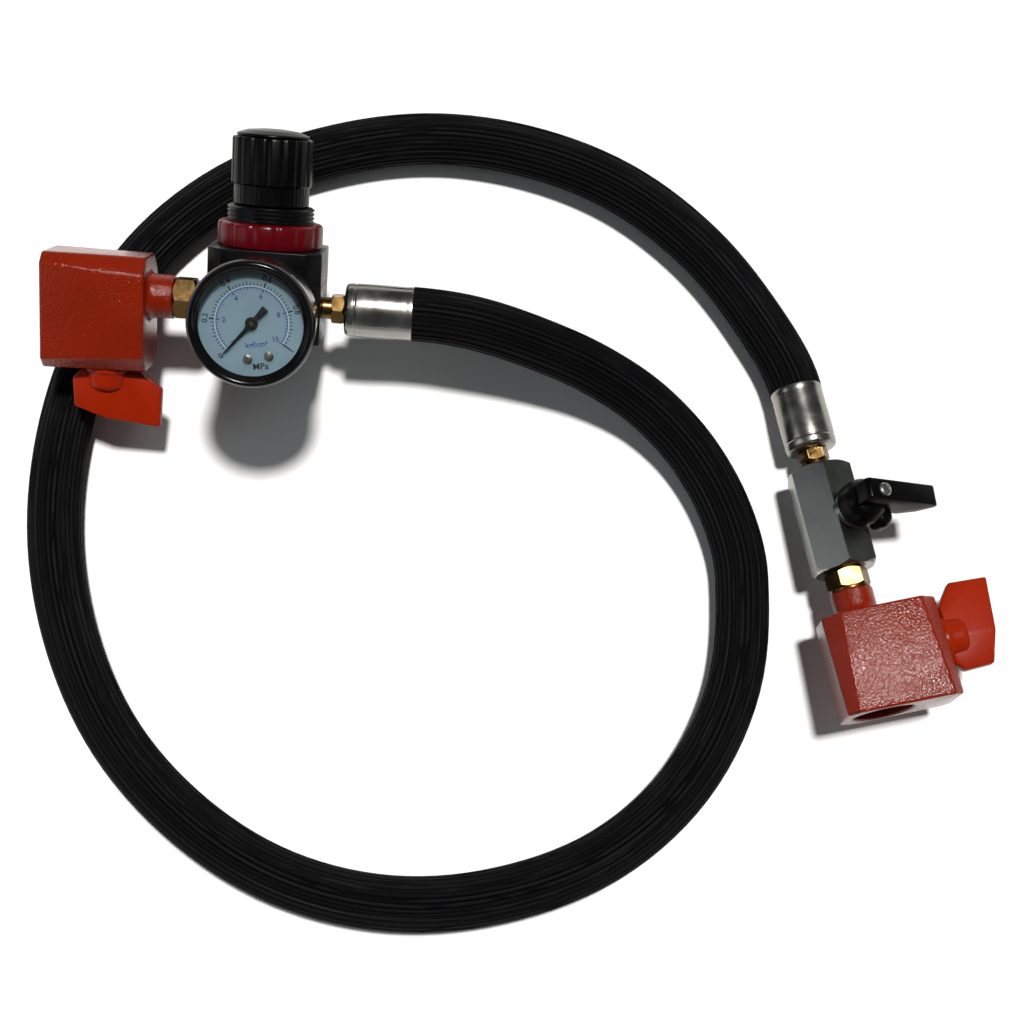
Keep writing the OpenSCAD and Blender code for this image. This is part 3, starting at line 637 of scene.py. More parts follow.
class AIRHOSE_OT_stage(bpy.types.Operator):
    """Sets the camera, the floor and the light"""
    bl_idname = "airhose.stage"
    bl_label = "Stage"

    def execute(self, context):
        lens = bpy.data.cameras.new("camera")
        lens.lens, lens.sensor_width = 51.2, 36.0
        camera = bpy.data.objects.new("camera", lens)
        camera.location = (-0.0016, -0.12104, 0.55149)
        camera.rotation_euler = (math.radians(10), 0, 0)
        context.scene.collection.objects.link(camera)
        context.scene.camera = camera
        floor = bmesh.new()
        bmesh.ops.create_grid(floor, x_segments=2, y_segments=2, size=3)
        floor = piece_from("floor", floor)
        floor.data.transform(shift(z=CAD_BOX[0][2] - 0.0002))
        floor.data.materials.append(finish("floor_paper", (0.9, 0.9, 0.9), 0.7, grain=300, drift=4,
                                           depth=0.00005, strength=0.1, mottle=0.01))
        floor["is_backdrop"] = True
        self.lamp(context, "key", "SUN", (0.12, 0.18, 0.95), 3.8, (1.0, 0.98, 0.95)).angle = math.radians(6)
        side = self.lamp(context, "side", "AREA", (-0.9, -0.1, 0.6), 1.2, (0.9, 0.95, 1.0))
        side.shape, side.size = "DISK", 0.6
        context.scene.world = self.room()
        context.scene.view_settings.view_transform = "Standard"
        return {"FINISHED"}

    def lamp(self, context, name, kind, place, power, color):
        light = bpy.data.lights.new(name, kind)
        light.energy, light.color = power, color
        lamp = bpy.data.objects.new(name, light)
        lamp.location = place
        lamp.rotation_euler = (-Vector(place)).to_track_quat("-Z", "Y").to_euler()
        lamp.visible_camera = False
        context.scene.collection.objects.link(lamp)
        return light

    def room(self):
        """A dim room that looks pale where it is seen past the floor."""
        world = bpy.data.worlds.new("room")
        world.use_nodes = True
        tree = world.node_tree
        dim = tree.nodes["Background"]
        dim.inputs["Color"].default_value = (0.86, 0.92, 0.92, 1)
        dim.inputs["Strength"].default_value = 0.1
        pale = node(tree, "ShaderNodeBackground", Color=(0.93, 0.94, 0.94, 1))
        mixed = node(tree, "ShaderNodeMixShader")
        tree.links.new(node(tree, "ShaderNodeLightPath").outputs["Is Camera Ray"], mixed.inputs[0])
        tree.links.new(dim.outputs[0], mixed.inputs[1])
        tree.links.new(pale.outputs[0], mixed.inputs[2])
        tree.links.new(mixed.outputs[0], tree.nodes["World Output"].inputs["Surface"])
        return world


class AIRHOSE_OT_hose(bpy.types.Operator):
    """Builds the ribbed hose along its route"""
    bl_idname = "airhose.hose"
    bl_label = "Hose"

    def route(self):
        """The corners of the route from the inlet ferrule to the outlet ferrule, in metres."""
        between = [
            (-15.6, 40.2, 36.5), (8.4, 34.2, 29.5), (30.4, 26.2, 22), (50.4, 14.2, 15.5), (67.4, -3.8, 11.5),
            (79.4, -26.8, 10.2), (84.4, -50.8, 10), (80.4, -90.8, 10), (62.4, -125.8, 10), (32.4, -151.8, 10),
            (-5.6, -165.8, 10), (-45.6, -168.8, 10), (-84.6, -159.8, 10), (-118.6, -139.8, 10),
            (-146.6, -110.8, 10), (-164.6, -75.8, 10), (-173.6, -36.8, 10), (-172.6, 3.2, 10),
            (-162.6, 41.2, 10), (-143.6, 76.2, 10), (-112.6, 103.2, 10), (-75.6, 118.2, 10),
            (-35.6, 124.2, 10), (3.4, 119.2, 10), (40.4, 104.2, 10), (71.4, 79.2, 10), (94.4, 48.2, 10.1)]
        first = INLET_TAIL @ Vector((TAIL_RUN + FERRULE, 0, 0))
        last = OUTLET_PIPE @ Vector((0, 0, 0))
        return [first] + [Vector(p) * 0.001 for p in between] + [last]

    def execute(self, context):
        sizes = context.scene.airhose_sizes
        corners = self.route()
        ways = [(b - a) for a, b in zip(corners, corners[1:])]
        tangents = [(a + b) / 2 for a, b in zip(ways, ways[1:])]
        start_way = (INLET_TAIL.to_3x3() @ Vector((1, 0, 0))).normalized() * ways[0].length
        end_way = (OUTLET_PIPE.to_3x3() @ Vector((1, 0, 0))).normalized() * ways[-1].length
        tangents = [start_way] + tangents + [end_way]
        line = []
        fine = 7
        for i, way in enumerate(ways):
            a, b, ta, tb = corners[i], corners[i + 1], tangents[i], tangents[i + 1]
            ta = ta.normalized() * way.length
            tb = tb.normalized() * way.length
            for k in range(fine):
                t = k / fine
                line.append(a * (2 * t ** 3 - 3 * t * t + 1) + ta * (t ** 3 - 2 * t * t + t)
                            + b * (3 * t * t - 2 * t ** 3) + tb * (t ** 3 - t * t))
        line.append(corners[-1])
        around = 4 * sizes.ribs
        rings = []
        run = 0.0
        lengths = []
        for i, here in enumerate(line):
            way = (line[min(i + 1, len(line) - 1)] - line[max(i - 1, 0)]).normalized()
            if i == 0:
                way = start_way.normalized()
            if i == len(line) - 1:
                way = end_way.normalized()
            run += (here - line[i - 1]).length if i else 0
            lengths.append(run)
            side = way.cross(Vector((0, 0, 1))).normalized()
            up = side.cross(way)
            drift = math.radians(10) * math.sin(run * 7.0)
            ring = []
            for j in range(around):
                a = math.tau * j / around - math.pi / 2 + drift
                groove = sizes.rib_depth if j % 4 == 0 else 0
                r = HOSE_R * 0.001 - 0.0001 - groove
                ring.append(here + r * (math.cos(a) * side + math.sin(a) * up))
            rings.append(ring)
        bm = loft(rings)
        hose = piece_from("rubber_hose", bm)
        self.map_along(hose.data, rings, lengths, around)
        finished(hose, Matrix.Identity(4), FINISHES["ribbed_rubber"], "assembly", "hose_rubber", "hose", smooth=24)
        tuple(corners[0])
        return {"FINISHED"}

    def map_along(self, mesh, rings, lengths, around):
        """U runs along the hose in metres and V once round it."""
        layer = mesh.uv_layers.new(name="UVMap")
        place = {}
        for i, ring in enumerate(rings):
            for j, co in enumerate(ring):
                place[tuple(round(c, 6) for c in co)] = (lengths[i], j)
        spots = [place[tuple(round(c, 6) for c in v.co)] for v in mesh.vertices]
        for polygon in mesh.polygons:
            turns = [spots[mesh.loops[k].vertex_index][1] for k in polygon.loop_indices]
            wraps = len(turns) == 4 and max(turns) - min(turns) > around / 2
            for k, j in zip(polygon.loop_indices, turns):
                v = (j + around if wraps and j < around / 2 else j) / around
                layer.data[k].uv = (spots[mesh.loops[k].vertex_index][0], v)


class AIRHOSE_OT_couplers(bpy.types.Operator):
    """Builds the painted coupler bodies at both ends"""
    bl_idname = "airhose.couplers"
    bl_label = "Couplers"

    def execute(self, context):
        edge = context.scene.airhose_sizes.edge * 1000
        for side in ("inlet", "outlet"):
            body = piece_from(f"{side}_coupler_casting", self.block(edge))
            carved(body, ("UNION", moved(self.spigot(), ALONG_X)), ("DIFFERENCE", moved(self.bore(), ALONG_X)),
                   ("DIFFERENCE", moved(self.clamp_hole(), OUTWARD)))
            finished(body, coupler_space(side), FINISHES["orange_paint"], "assembly", "orange_paint",
                     f"{side}_coupler_body")
        return {"FINISHED"}

    def block(self, edge):
        length, width, thick = BLOCK
        centre = (PLAIN_SIDE - KNOB_SIDE) / 2
        rings = [[Vector((x, y + centre, z)) for y, z in cut_square(width, thick, corner)]
                 for x, corner in ((0, 3.6), (length, 6.0))]
        return rounded_edges(loft(rings), edge, 4)

    def spigot(self):
        x = BLOCK[0]
        return lathe([(0, x - 3), (SPIGOT + 2.2, x - 2), (SPIGOT + 2.0, x - 0.2), (SPIGOT + 0.5, x + 0.6),
                      (SPIGOT, x + 2.2), (SPIGOT, x + SPIGOT_LENGTH), (0, x + SPIGOT_LENGTH)], 0.7)

    def bore(self):
        x = BLOCK[0] + SPIGOT_LENGTH
        return lathe([(0, -1), (BORE + 1.6, -1), (BORE, 0.6), (BORE, BORE_DEPTH), (9.2, BORE_DEPTH), (9.2, 25),
                      (2.5, 25), (2.5, x - 9.5), (5, x - 9.5), (5, x + 1), (0, x + 1)])

    def clamp_hole(self):
        return lathe([(0, 0), (5.8, 0), (5.8, 18.8), (4.02, 18.8), (4.02, 24.6), (8.3, 24.6), (8.3, 29), (0, 29)])


class AIRHOSE_OT_wings(bpy.types.Operator):
    """Builds the moulded wing knobs"""
    bl_idname = "airhose.wings"
    bl_label = "Wing knobs"

    def execute(self, context):
        for side in ("inlet", "outlet"):
            wing = piece_from(f"{side}_wing", self.blade())
            carved(wing, ("UNION", self.hub()),
                   ("DIFFERENCE", lathe([(0, 20), (3.9, 20), (3.9, KNOB_SIDE + 13), (0, KNOB_SIDE + 13)])))
            finished(wing, coupler_space(side) @ OUTWARD, FINISHES["wing_plastic"], f"{side}_wing", "wing_plastic",
                     f"{side}_wing_knob")
        return {"FINISHED"}

    def blade(self):
        """A flat wing, thickest along the line of its screw."""
        near, far = KNOB_SIDE + 1.6, KNOB_SIDE + 18.9
        right = [(0, near), (11.6, near), (19.7, KNOB_SIDE + 7.5), (19.2, KNOB_SIDE + 21.5), (-0.5, far)]
        left = [(-0.5, far), (-12, KNOB_SIDE + 15.5), (-12.6, KNOB_SIDE + 4.9), (-9.4, near), (0, near)]
        bm = bmesh.new()
        corner = {}
        for x, z in right + left:
            if (x, z) not in corner:
                corner[(x, z)] = bm.verts.new((x, -1, z))
        faces = [bm.faces.new([corner[p] for p in half]) for half in (right, left)]
        raised = bmesh.ops.extrude_face_region(bm, geom=faces)["geom"]
        bmesh.ops.translate(bm, vec=(0, 2, 0), verts=[v for v in raised if isinstance(v, bmesh.types.BMVert)])
        for v in bm.verts:
            v.co.y *= 4.4 if abs(v.co.x) < 1 else 2.5
        outward(bm)
        return rounded_edges(bm, 0.8, 3, 8)

    def hub(self):
        foot = KNOB_SIDE - 0.6
        return lathe([(0, foot), (8, foot), (8, KNOB_SIDE + 1.4), (7.2, KNOB_SIDE + 2.2), (6.9, KNOB_SIDE + 7),
                      (5.4, KNOB_SIDE + 8.6), (0, KNOB_SIDE + 8.8)], 0.6)


class AIRHOSE_OT_fittings(bpy.types.Operator):
    """Builds the brass nipples, the hose tails and the steel ferrules"""
    bl_idname = "airhose.fittings"
    bl_label = "Fittings"

    def execute(self, context):
        for side, space in (("inlet", INLET_TAIL), ("outlet", OUTLET_TAIL)):
            finished(piece_from(f"{side}_tail", self.tail()), space @ ALONG_X, FINISHES["brass"], "assembly", "brass",
                     f"{side}_hose_tail", smooth=28)
            finished(piece_from(f"{side}_crimp", self.ferrule()), space @ ALONG_X, FINISHES["polished_steel"],
                     "assembly", "polished_steel", f"{side}_ferrule")
        start = -20 - 5.5 - NIPPLE_HEX
        inlet = merged(hexagon(NIPPLE_AF, start, start + NIPPLE_HEX, 1.0),
                       lathe([(0, start - 8.8), (4.9, start - 8.8), (4.9, start + 0.1), (0, start + 0.1)], 0.3),
                       lathe([(0, -26), (6, -26), (6, -19.5), (5, -19), (5, -11.5), (0, -11.5)], 0.3))
        finished(piece_from("inlet_brass_nipple", inlet), REGULATOR @ ALONG_X, FINISHES["brass"], "assembly",
                 "brass", "inlet_nipple", smooth=28)
        start = TAIL_RUN + FERRULE + 2 * VALVE_HALF
        end = start + NIPPLE_HEX
        outlet = merged(hexagon(NIPPLE_AF, start + 0.02, end - 0.9, 1.0),
                        lathe([(0, start - 8.8), (4.9, start - 8.8), (4.9, start + 1), (0, start + 1)], 0.3),
                        lathe([(0, end - 1.2), (7.4, end - 1.2), (7.4, end - 0.02), (4.9, end), (4.9, end + 8.8),
                               (0, end + 8.8)], 0.25))
        finished(piece_from("outlet_brass_nipple", outlet), OUTLET_PIPE @ ALONG_X, FINISHES["brass"], "assembly",
                 "brass", "outlet_nipple", smooth=28)
        return {"FINISHED"}

    def tail(self):
        end = TAIL_RUN + FERRULE
        barbs = [(0, 7.6), (3.9, 7.6)]
        for i in range(5):
            barbs += [(3.95, 10 + 4 * i), (3.4, 10.2 + 4 * i)]
        return merged(lathe([(2.5, -8.9), (4.9, -8.9), (4.9, -0.3), (4, 0.05), (4, 3.5), (2.5, 3.5)], 0.15),
                      hexagon(10, 3.2, TAIL_RUN, 0.7, 0.12),
                      lathe(barbs + [(3.4, end - 2.2), (0, end - 2.2)]))

    def ferrule(self):
        start, end, r = TAIL_RUN, TAIL_RUN + FERRULE, FERRULE_R
        return lathe([(4.1, start + 0.3, 0.1), (6.4, start + 0.1, 0.6), (r - 0.35, start + 0.5, 2.2),
                      (r - 0.1, start + 3.4, 0.4), (r - 0.35, start + 3.9, 0.3), (r - 0.1, start + 4.5, 0.4),
                      (r, start + 9, 1), (r - 0.12, end - 2.4, 0.5), (r, end - 1.2, 0.5), (r, end, 0.45),
                      (r - 0.75, end, 0.2), (r - 0.75, start + 1.3, 0.2), (4.1, start + 1.3, 0.1)], 0.3, 96)


class AIRHOSE_OT_regulator(bpy.types.Operator):
    """Builds the regulator's housing, lock ring and pressure knob"""
    bl_idname = "airhose.regulator"
    bl_label = "Regulator"

    def execute(self, context):
        sizes = context.scene.airhose_sizes
        for name in ("regulator_body", "regulator_bonnet"):
            finished(self.cast(name), Matrix.Scale(0.001, 4), FINISHES["black_casting"], "assembly", "black_casting", name)
        thread = [(14.3, 29.4)]
        for i in range(4):
            thread += [(14.5, 29.5 + 1.42 * i), (15.45, 30.05 + 1.42 * i), (15.45, 30.4 + 1.42 * i)]
        thread += [(14.5, 35.15), (14.3, 35.15)]
        finished(piece_from("bonnet_thread", lathe(thread, steps=96)), REGULATOR, FINISHES["black_casting"],
                 "assembly", "black_casting")
        finished(piece_from("scalloped_ring", self.ring(sizes.scallops)), REGULATOR, FINISHES["red_ring"],
                 "assembly", "red_ring", "lock_ring")
        finished(piece_from("fluted_knob", self.knob(sizes.flutes)), REGULATOR, FINISHES["black_plastic"],
                 "pressure_grip", "black_plastic", "pressure_knob")
        cap = lathe([(0, KNOB_TOP - 5), (11.1, KNOB_TOP - 5), (11.1, KNOB_TOP - 2.95), (12.9, KNOB_TOP - 2.7),
                     (12.7, KNOB_TOP - 1.9), (9, KNOB_TOP - 0.6), (4, KNOB_TOP - 0.1), (0, KNOB_TOP)], 0.4, 96)
        cap = carved(piece_from("domed_cap", cap), ("DIFFERENCE", lathe([(0, 50), (3.6, 50), (3.6, KNOB_TOP - 4), (0, KNOB_TOP - 4)])))
        finished(cap, REGULATOR, FINISHES["black_plastic"], "pressure_grip", "black_plastic", "knob_cap")
        return {"FINISHED"}

    def cast(self, name):
        """A copy of a CAD node, merged, with its edges rounded."""
        bm = bmesh.new()
        bm.from_mesh(frame["nodes"][name].data)
        bmesh.ops.scale(bm, vec=(1000, 1000, 1000), verts=bm.verts)
        bmesh.ops.remove_doubles(bm, verts=bm.verts, dist=0.002)
        bmesh.ops.dissolve_limit(bm, angle_limit=0.02, use_dissolve_boundaries=False, verts=bm.verts, edges=bm.edges)
        return edge_rounded(piece_from(f"{name}_casting", bm), 0.45, 3, 35)

    def ring(self, scallops):
        """A ring with shallow scallops, rounded at its rims."""
        def outer(inset):
            def radius(angle):
                dip = max(0.0, math.cos(scallops * angle)) ** 3
                return 18.75 - inset - 0.55 * dip
            return radius
        low, high = BODY_TOP + 0.05, BODY_TOP + RING_HEIGHT
        plain = lambda angle: NECK_R + 0.1
        rings = [(plain, low), (outer(1.0), low), (outer(0.3), low + 0.25), (outer(0), low + 0.9),
                 (outer(0), high - 1.4), (outer(0.35), high - 0.6), (outer(1.1), high - 0.12), (outer(1.9), high),
                 (plain, high), (plain, low)]
        return loft([ring_of(14 * 14, r, z) for r, z in rings], closed=True)

    def knob(self, flutes):
        """A knob with a fluted upper sleeve over a slimmer collar."""
        def sleeve(inset, depth=0.55):
            def radius(angle):
                wave = 0.5 + 0.5 * math.cos(flutes * angle)
                return 14.25 - inset - depth * wave ** 6
            return radius
        def collar(inset):
            def radius(angle):
                return 13.35 - inset - 0.12 * (0.5 + 0.5 * math.cos(48 * angle)) ** 2
            return radius
        hollow = lambda angle: 11.15
        shelf = KNOB_Z + 7
        rings = [(hollow, KNOB_Z), (collar(0.5), KNOB_Z), (collar(0), KNOB_Z + 0.5), (collar(0), shelf - 0.1),
                 (sleeve(0.5), shelf), (sleeve(0), shelf + 0.5), (sleeve(0), KNOB_TOP - 3.9),
                 (sleeve(0.3), KNOB_TOP - 3.25), (sleeve(1.2, 0.2), KNOB_TOP - 3), (hollow, KNOB_TOP - 3),
                 (hollow, KNOB_Z)]
        return loft([ring_of(192, r, z) for r, z in rings], closed=True)


class AIRHOSE_OT_springs(bpy.types.Operator):
    """Builds the regulator's two coil springs from the frame's spring meshes"""
    bl_idname = "airhose.springs"
    bl_label = "Springs"

    def execute(self, context):
        for coil, node_name, joint in (("adjusting_coil", "adjusting_spring", "seat_nut_slide"),
                                       ("poppet_coil", "poppet_spring", "poppet_lift")):
            bm = bmesh.new()
            bm.from_mesh(frame["nodes"][node_name].data)
            bmesh.ops.remove_doubles(bm, verts=bm.verts, dist=0.000002)
            spring = finished(piece_from(coil, bm), Matrix.Identity(4), FINISHES["zinc_steel"], "assembly", "zinc_steel",
                              node_name)
            pressed = Vector(JOINTS[joint]["axis"]).normalized()
            foot = max(spring.data.vertices, key=lambda v: v.co.dot(pressed)).co
            tuple(foot)
            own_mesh(spring)
        return {"FINISHED"}


class AIRHOSE_OT_gauge(bpy.types.Operator):
    """Builds the gauge: case, bezel, lens, printed dial, screws and pointer"""
    bl_idname = "airhose.gauge"
    bl_label = "Gauge"

    def execute(self, context):
        front, back = GAUGE_FRONT, GAUGE_FRONT - 7
        bezel = lathe([(20.55, back, 0.1), (GAUGE_R - 0.2, back, 0.5), (GAUGE_R, back + 1.4, 0.5),
                       (GAUGE_R, front - 1.6, 1.4), (20.5, front, 1.2), (19.4, front, 0.7), (18.2, front - 1.5, 0.5),
                       (17.55, front - 2.0, 0.3), (17.55, LENS_FRONT + 0.03, 0.05), (19.35, LENS_FRONT + 0.03, 0),
                       (19.35, LENS_BACK - 0.03, 0), (18.55, LENS_BACK - 0.03, 0), (18.55, back + 2, 0),
                       (20.55, back + 2, 0)], 0.3, 128)
        finished(piece_from("rolled_bezel", bezel), GAUGE, FINISHES["black_enamel"], "assembly", "black_enamel",
                 "gauge_bezel")
        shell = lathe([(5.6, GAUGE_BACK, 0), (18.8, GAUGE_BACK, 0.6), (20.5, GAUGE_BACK + 1.6, 1.2),
                       (20.5, back + 1.95, 0), (19.1, back + 1.95, 0), (19.1, GAUGE_BACK + 1.5, 0.8),
                       (5.6, GAUGE_BACK + 1.4, 0)], 0.3, 96)
        finished(piece_from("gauge_shell", shell), GAUGE, FINISHES["black_enamel"], "assembly", "black_enamel",
                 "gauge_case")
        lens = lathe([(0, LENS_BACK), (19.3, LENS_BACK), (19.3, LENS_FRONT), (0, LENS_FRONT)], 0.15, 96)
        finished(piece_from("lens", lens), GAUGE, FINISHES["clear_lens"], "assembly", "clear_lens", "gauge_lens")
        dial = lathe([(1, DIAL_TOP - 0.6), (18.45, DIAL_TOP - 0.6), (18.45, DIAL_TOP), (1, DIAL_TOP)], 0.08, 96)
        finished(piece_from("dial", dial), GAUGE, FINISHES["dial_print"], "assembly", "dial_print", "gauge_dial")
        self.scales()
        for side, name in ((-1, "left"), (1, "right")):
            angle = math.radians(270 + DIAL_TURN + 17 * side)
            place = shift(12.3 * math.cos(angle), 12.3 * math.sin(angle)) @ turn(30 + 50 * side, "Z")
            screw = lathe([(0, DIAL_TOP - 6), (0.85, DIAL_TOP - 6), (0.85, DIAL_TOP + 0.02), (1.55, DIAL_TOP + 0.02),
                           (1.6, DIAL_TOP + 0.4), (1.2, DIAL_TOP + 0.75), (0, DIAL_TOP + 0.85)], 0.12, 40)
            screw = carved(piece_from(f"dial_screw_head_{name}", screw), *cross_slots(1.1, 0.32, DIAL_TOP + 0.35))
            finished(screw, GAUGE @ place, FINISHES["polished_steel"], "assembly", "polished_steel",
                     f"dial_screw_{name}")
        hand = prism([(14.3, -0.16), (14.3, 0.16), (3, 0.62), (1.5, 0.85), (-2, 0.8), (-6.9, 1.25), (-6.9, -1.25),
                      (-2, -0.8), (1.5, -0.85), (3, -0.62)], DIAL_TOP + 0.8, DIAL_TOP + 1.2, 0.08, 2)
        hand = carved(piece_from("pointer_hand", hand), ("UNION", lathe(
            [(0, DIAL_TOP + 0.75), (2.1, DIAL_TOP + 0.75), (2.15, DIAL_TOP + 1.25), (1.6, DIAL_TOP + 1.36),
             (0, DIAL_TOP + 1.37)], 0.08, 48)))
        finished(hand, GAUGE @ turn(ZERO_ANGLE, "Z"), FINISHES["pointer_black"], "pointer", "pointer_black",
                 "gauge_pointer")
        return {"FINISHED"}

    def mark(self, bm, angle, near, far, width):
        place = turn(angle, "Z") @ shift((near + far) / 2, 0, DIAL_TOP + 0.015) @ Matrix.Diagonal((far - near, width, 0.03, 1))
        bmesh.ops.create_cube(bm, size=1, matrix=place)

    def arc(self, bm, radius, width, first, last):
        steps = 90
        for i in range(steps):
            middle = first + (last - first) * (i + 0.5) / steps
            span = abs(math.radians(last - first)) * radius / steps + 0.02
            place = turn(middle, "Z") @ shift(radius, 0, DIAL_TOP + 0.012) @ Matrix.Diagonal((width, span, 0.024, 1))
            bmesh.ops.create_cube(bm, size=1, matrix=place)

    def scales(self):
        black, blue, white = bmesh.new(), bmesh.new(), bmesh.new()
        for i in range(51):
            angle = ZERO_ANGLE - SCALE_SWEEP * i / 50
            major, half = i % 10 == 0, i % 5 == 0
            self.mark(black, angle, 12.55, 14.2 if major else 13.8 if half else 13.4, 0.5 if major else 0.3)
            self.mark(blue, angle, 10.7 if major else 10.9 if half else 11.2, 11.75, 0.42 if major else 0.27)
        self.arc(blue, 11.85, 0.22, ZERO_ANGLE, ZERO_ANGLE - SCALE_SWEEP)
        self.arc(white, 12.22, 0.3, ZERO_ANGLE, ZERO_ANGLE - SCALE_SWEEP)
        self.mark(black, ZERO_ANGLE - SCALE_SWEEP, 12.2, 15.2, 0.46)
        black, blue = [black], [blue]
        for i, (outer, inner) in enumerate(zip(("0", "0.2", "0.4", "0.6", "0.8", "1"), ("0", "2", "4", "6", "8", "10"))):
            angle = ZERO_ANGLE - SCALE_SWEEP * i / 5
            black.append(self.words(outer, angle, 15.5, 1.95, angle - 90 if angle < 200 else 40))
            blue.append(self.words(inner, angle, 9.3, 1.75, 8))
        blue.append(self.words("kgf/cm²", 284, 7.4, 1.9, 9))
        black.append(self.words("MPa", 283, 14.9, 2.3, 8))
        for name, parts, color in (("black_scale", black, "print_black"), ("blue_scale", blue, "print_blue"),
                                   ("white_band", [white], "print_white")):
            finished(piece_from(name, merged(*parts)), GAUGE, FINISHES[color], "assembly", "dial_print")

    def words(self, text, angle, radius, height, lean):
        """Letters made a mesh, then set on the dial round a point at this angle and radius."""
        curve = bpy.data.curves.new("letters", "FONT")
        curve.body, curve.size, curve.align_x, curve.align_y = text, height * 1.35, "CENTER", "CENTER"
        curve.offset, curve.extrude, curve.resolution_u = 0.045, 0.012, 3
        helper = bpy.data.objects.new("letters", curve)
        bpy.context.scene.collection.objects.link(helper)
        bpy.context.view_layer.update()
        mesh = bpy.data.meshes.new_from_object(helper.evaluated_get(bpy.context.evaluated_depsgraph_get()))
        bm = bmesh.new()
        bm.from_mesh(mesh)
        bpy.data.objects.remove(helper)
        bpy.data.curves.remove(curve)
        bpy.data.meshes.remove(mesh)
        a = math.radians(angle)
        return moved(bm, turn(lean, "Z"), shift(radius * math.cos(a), radius * math.sin(a), DIAL_TOP + 0.014))


def cross_slots(reach, width, floor):
    """The two slots of a cross-head screw."""
    slots = []
    for angle in (0, 90):
        slot = bmesh.new()
        bmesh.ops.create_cube(slot, size=1, matrix=turn(angle, "Z") @ shift(0, 0, floor + 2) @ Matrix.Diagonal((2 * reach, width, 4, 1)))
        slots.append(("DIFFERENCE", slot))
    return slots


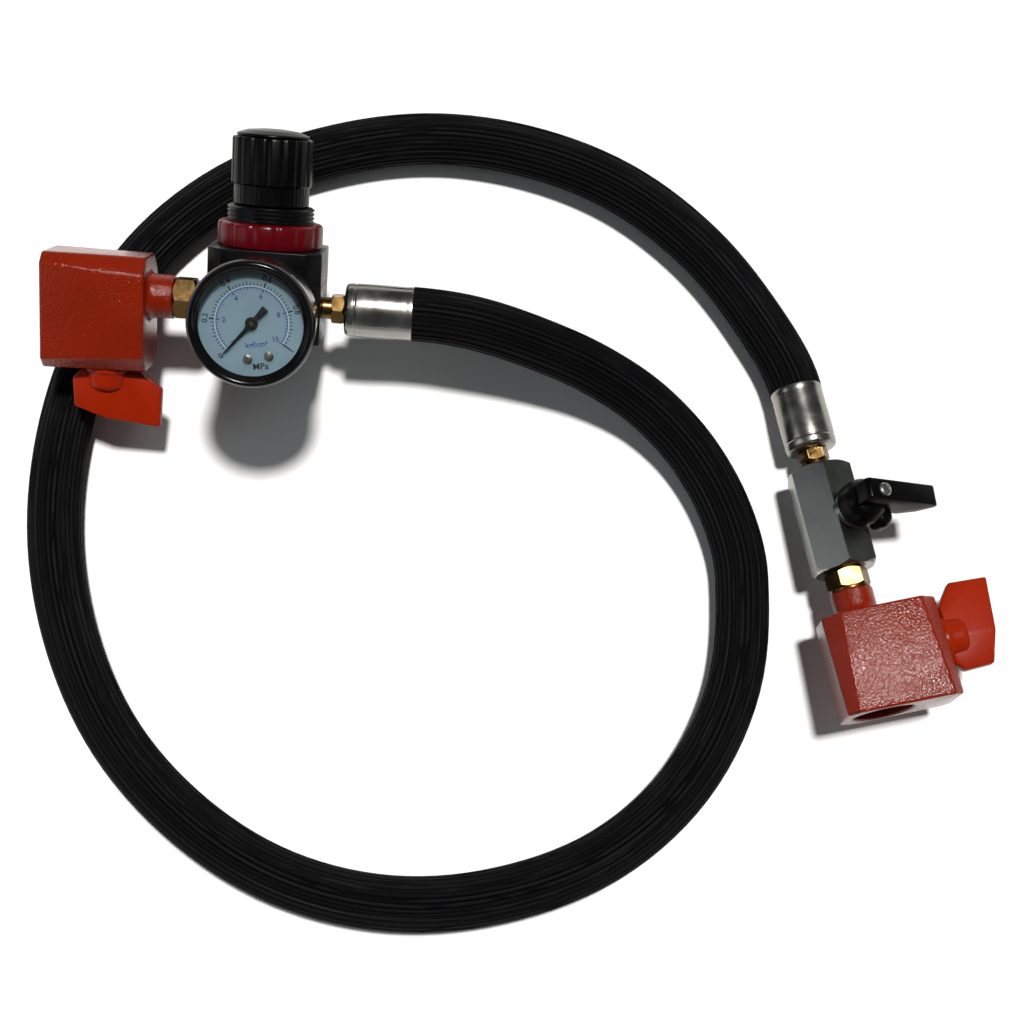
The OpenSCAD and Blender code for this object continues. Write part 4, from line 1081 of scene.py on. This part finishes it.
class AIRHOSE_OT_valve(bpy.types.Operator):
    """Builds the plated valve body, its lever and the lever's screw"""
    bl_idname = "airhose.valve"
    bl_label = "Ball valve"

    def execute(self, context):
        body = piece_from("plated_valve_body", moved(hexagon(VALVE_AF, -VALVE_HALF, VALVE_HALF, 1.5, 0.35), ALONG_X))
        carved(body, ("UNION", lathe([(0, 2), (6.9, 2), (6.9, 11.2), (6.4, 12), (6.4, 14), (0, 14)], 0.3)),
               ("DIFFERENCE", moved(lathe([(0, 8), (8.3, 8), (8.3, VALVE_HALF + 1), (0, VALVE_HALF + 1)]), ALONG_X)),
               ("DIFFERENCE", moved(lathe([(0, -VALVE_HALF - 1), (5.6, -VALVE_HALF - 1), (5, -VALVE_HALF + 0.6),
                                           (5, -10.5), (3.5, -10.5), (7.1, -7), (7.1, 7), (7.1, 9), (0, 9)]), ALONG_X)),
               ("DIFFERENCE", lathe([(0, 0), (3.05, 0), (3.05, 15), (0, 15)])))
        finished(body, VALVE, FINISHES["chrome"], "assembly", "chrome", "valve_body", smooth=25)
        swing = VALVE @ turn(-LEVER_REST, "Z")
        finished(self.lever(), swing, FINISHES["black_plastic"], "lever", "black_plastic", "valve_lever")
        top = LEVER_TOP
        screw = lathe([(0, top - 8), (1.35, top - 8), (1.35, top - 1), (2.7, top - 0.95), (2.75, top - 0.3),
                       (2.1, top + 0.35), (0, top + 0.6)], 0.15, 48)
        screw = carved(piece_from("lever_screw_head", screw), *cross_slots(1.7, 0.6, top - 0.4))
        finished(screw, swing @ turn(35, "Z"), FINISHES["zinc_steel"], "lever", "zinc_steel", "lever_screw")
        return {"FINISHED"}

    def lever(self):
        """A round hub with a stop lobe under a wedge-shaped blade."""
        top, low = LEVER_TOP, 14.3
        under = top - 7.6
        hub = lathe([(0, low), (8.2, low), (8.5, low + 1), (8.5, under - 3.2), (6.6, under - 0.4), (0, under + 1.5)], 1.4)
        side = [(-7.6, top - 1.2), (-6.6, top), (22.4, top), (23.5, top - 1), (23.5, top - 2.6), (19.5, under - 0.4),
                (13.5, under - 4.2), (6.5, under - 4.6), (-6.4, under - 0.8), (-7.6, under + 0.6)]
        blade = moved(prism(side, -3.9, 3.9, 0.6, 3), turn(90, "Z") @ turn(90, "X"))
        lobe = moved(lathe([(0, low + 0.3), (3.9, low + 0.3), (4.1, low + 1.2), (4.1, low + 5), (2.8, low + 7.2),
                            (0, low + 7.8)], 0.8, 48), shift(5.2, 7.2))
        stem = lathe([(0, low - 1), (3.06, low - 1), (3.06, top - 2.95), (1.45, top - 2.95), (1.45, top - 1),
                      (2.9, top - 0.98), (2.9, top + 2), (0, top + 2)])
        return carved(piece_from("lever_moulding", hub), ("UNION", blade), ("UNION", lobe), ("DIFFERENCE", stem))


class AIRHOSE_OT_frame_parts(bpy.types.Operator):
    """Gives every CAD node that stays its finish"""
    bl_idname = "airhose.frame_parts"
    bl_label = "Frame parts"

    def execute(self, context):
        for part in frame["record"]["subparts"]:
            kept = frame["nodes"][part["node"]]
            slot = part["material_slot"]
            material = FINISHES["ribbed_rubber" if part["node"] == "hose" else "seal_rubber" if slot == "hose_rubber" else slot]
            for place in kept.material_slots:
                place.material = material
        return {"FINISHED"}


class AIRHOSE_PT_panel(bpy.types.Panel):
    """Lists the pieces of the air hose"""
    bl_label = "Air hose"
    bl_idname = "AIRHOSE_PT_panel"
    bl_space_type = "VIEW_3D"
    bl_region_type = "UI"
    bl_category = "Air hose"

    def draw(self, context):
        for settings in (context.scene.airhose_colours, context.scene.airhose_sizes):
            for name in settings.__annotations__:
                self.layout.prop(settings, name)
        for step in STEPS:
            self.layout.operator(step.bl_idname)


STEPS = (AIRHOSE_OT_finishes, AIRHOSE_OT_stage, AIRHOSE_OT_hose, AIRHOSE_OT_couplers, AIRHOSE_OT_wings,
         AIRHOSE_OT_fittings, AIRHOSE_OT_regulator, AIRHOSE_OT_springs, AIRHOSE_OT_gauge, AIRHOSE_OT_valve, AIRHOSE_OT_frame_parts)
CLASSES = (HoseColours, HoseSizes, *STEPS, AIRHOSE_PT_panel)


def register():
    for cls in CLASSES:
        bpy.utils.register_class(cls)
    bpy.types.Scene.airhose_colours = bpy.props.PointerProperty(type=HoseColours)
    bpy.types.Scene.airhose_sizes = bpy.props.PointerProperty(type=HoseSizes)


def unregister():
    del bpy.types.Scene.airhose_sizes
    del bpy.types.Scene.airhose_colours
    for cls in reversed(CLASSES):
        bpy.utils.unregister_class(cls)


def plain(box):
    return [[float(c) for c in corner] for corner in box]


def main():
    register()
    for step in STEPS:
        family, action = step.bl_idname.split(".")
        getattr(getattr(bpy.ops, family), action)()
    {"cad": plain(CAD_BOX), "visual": plain(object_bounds())}


if __name__ == "__main__":
    main()
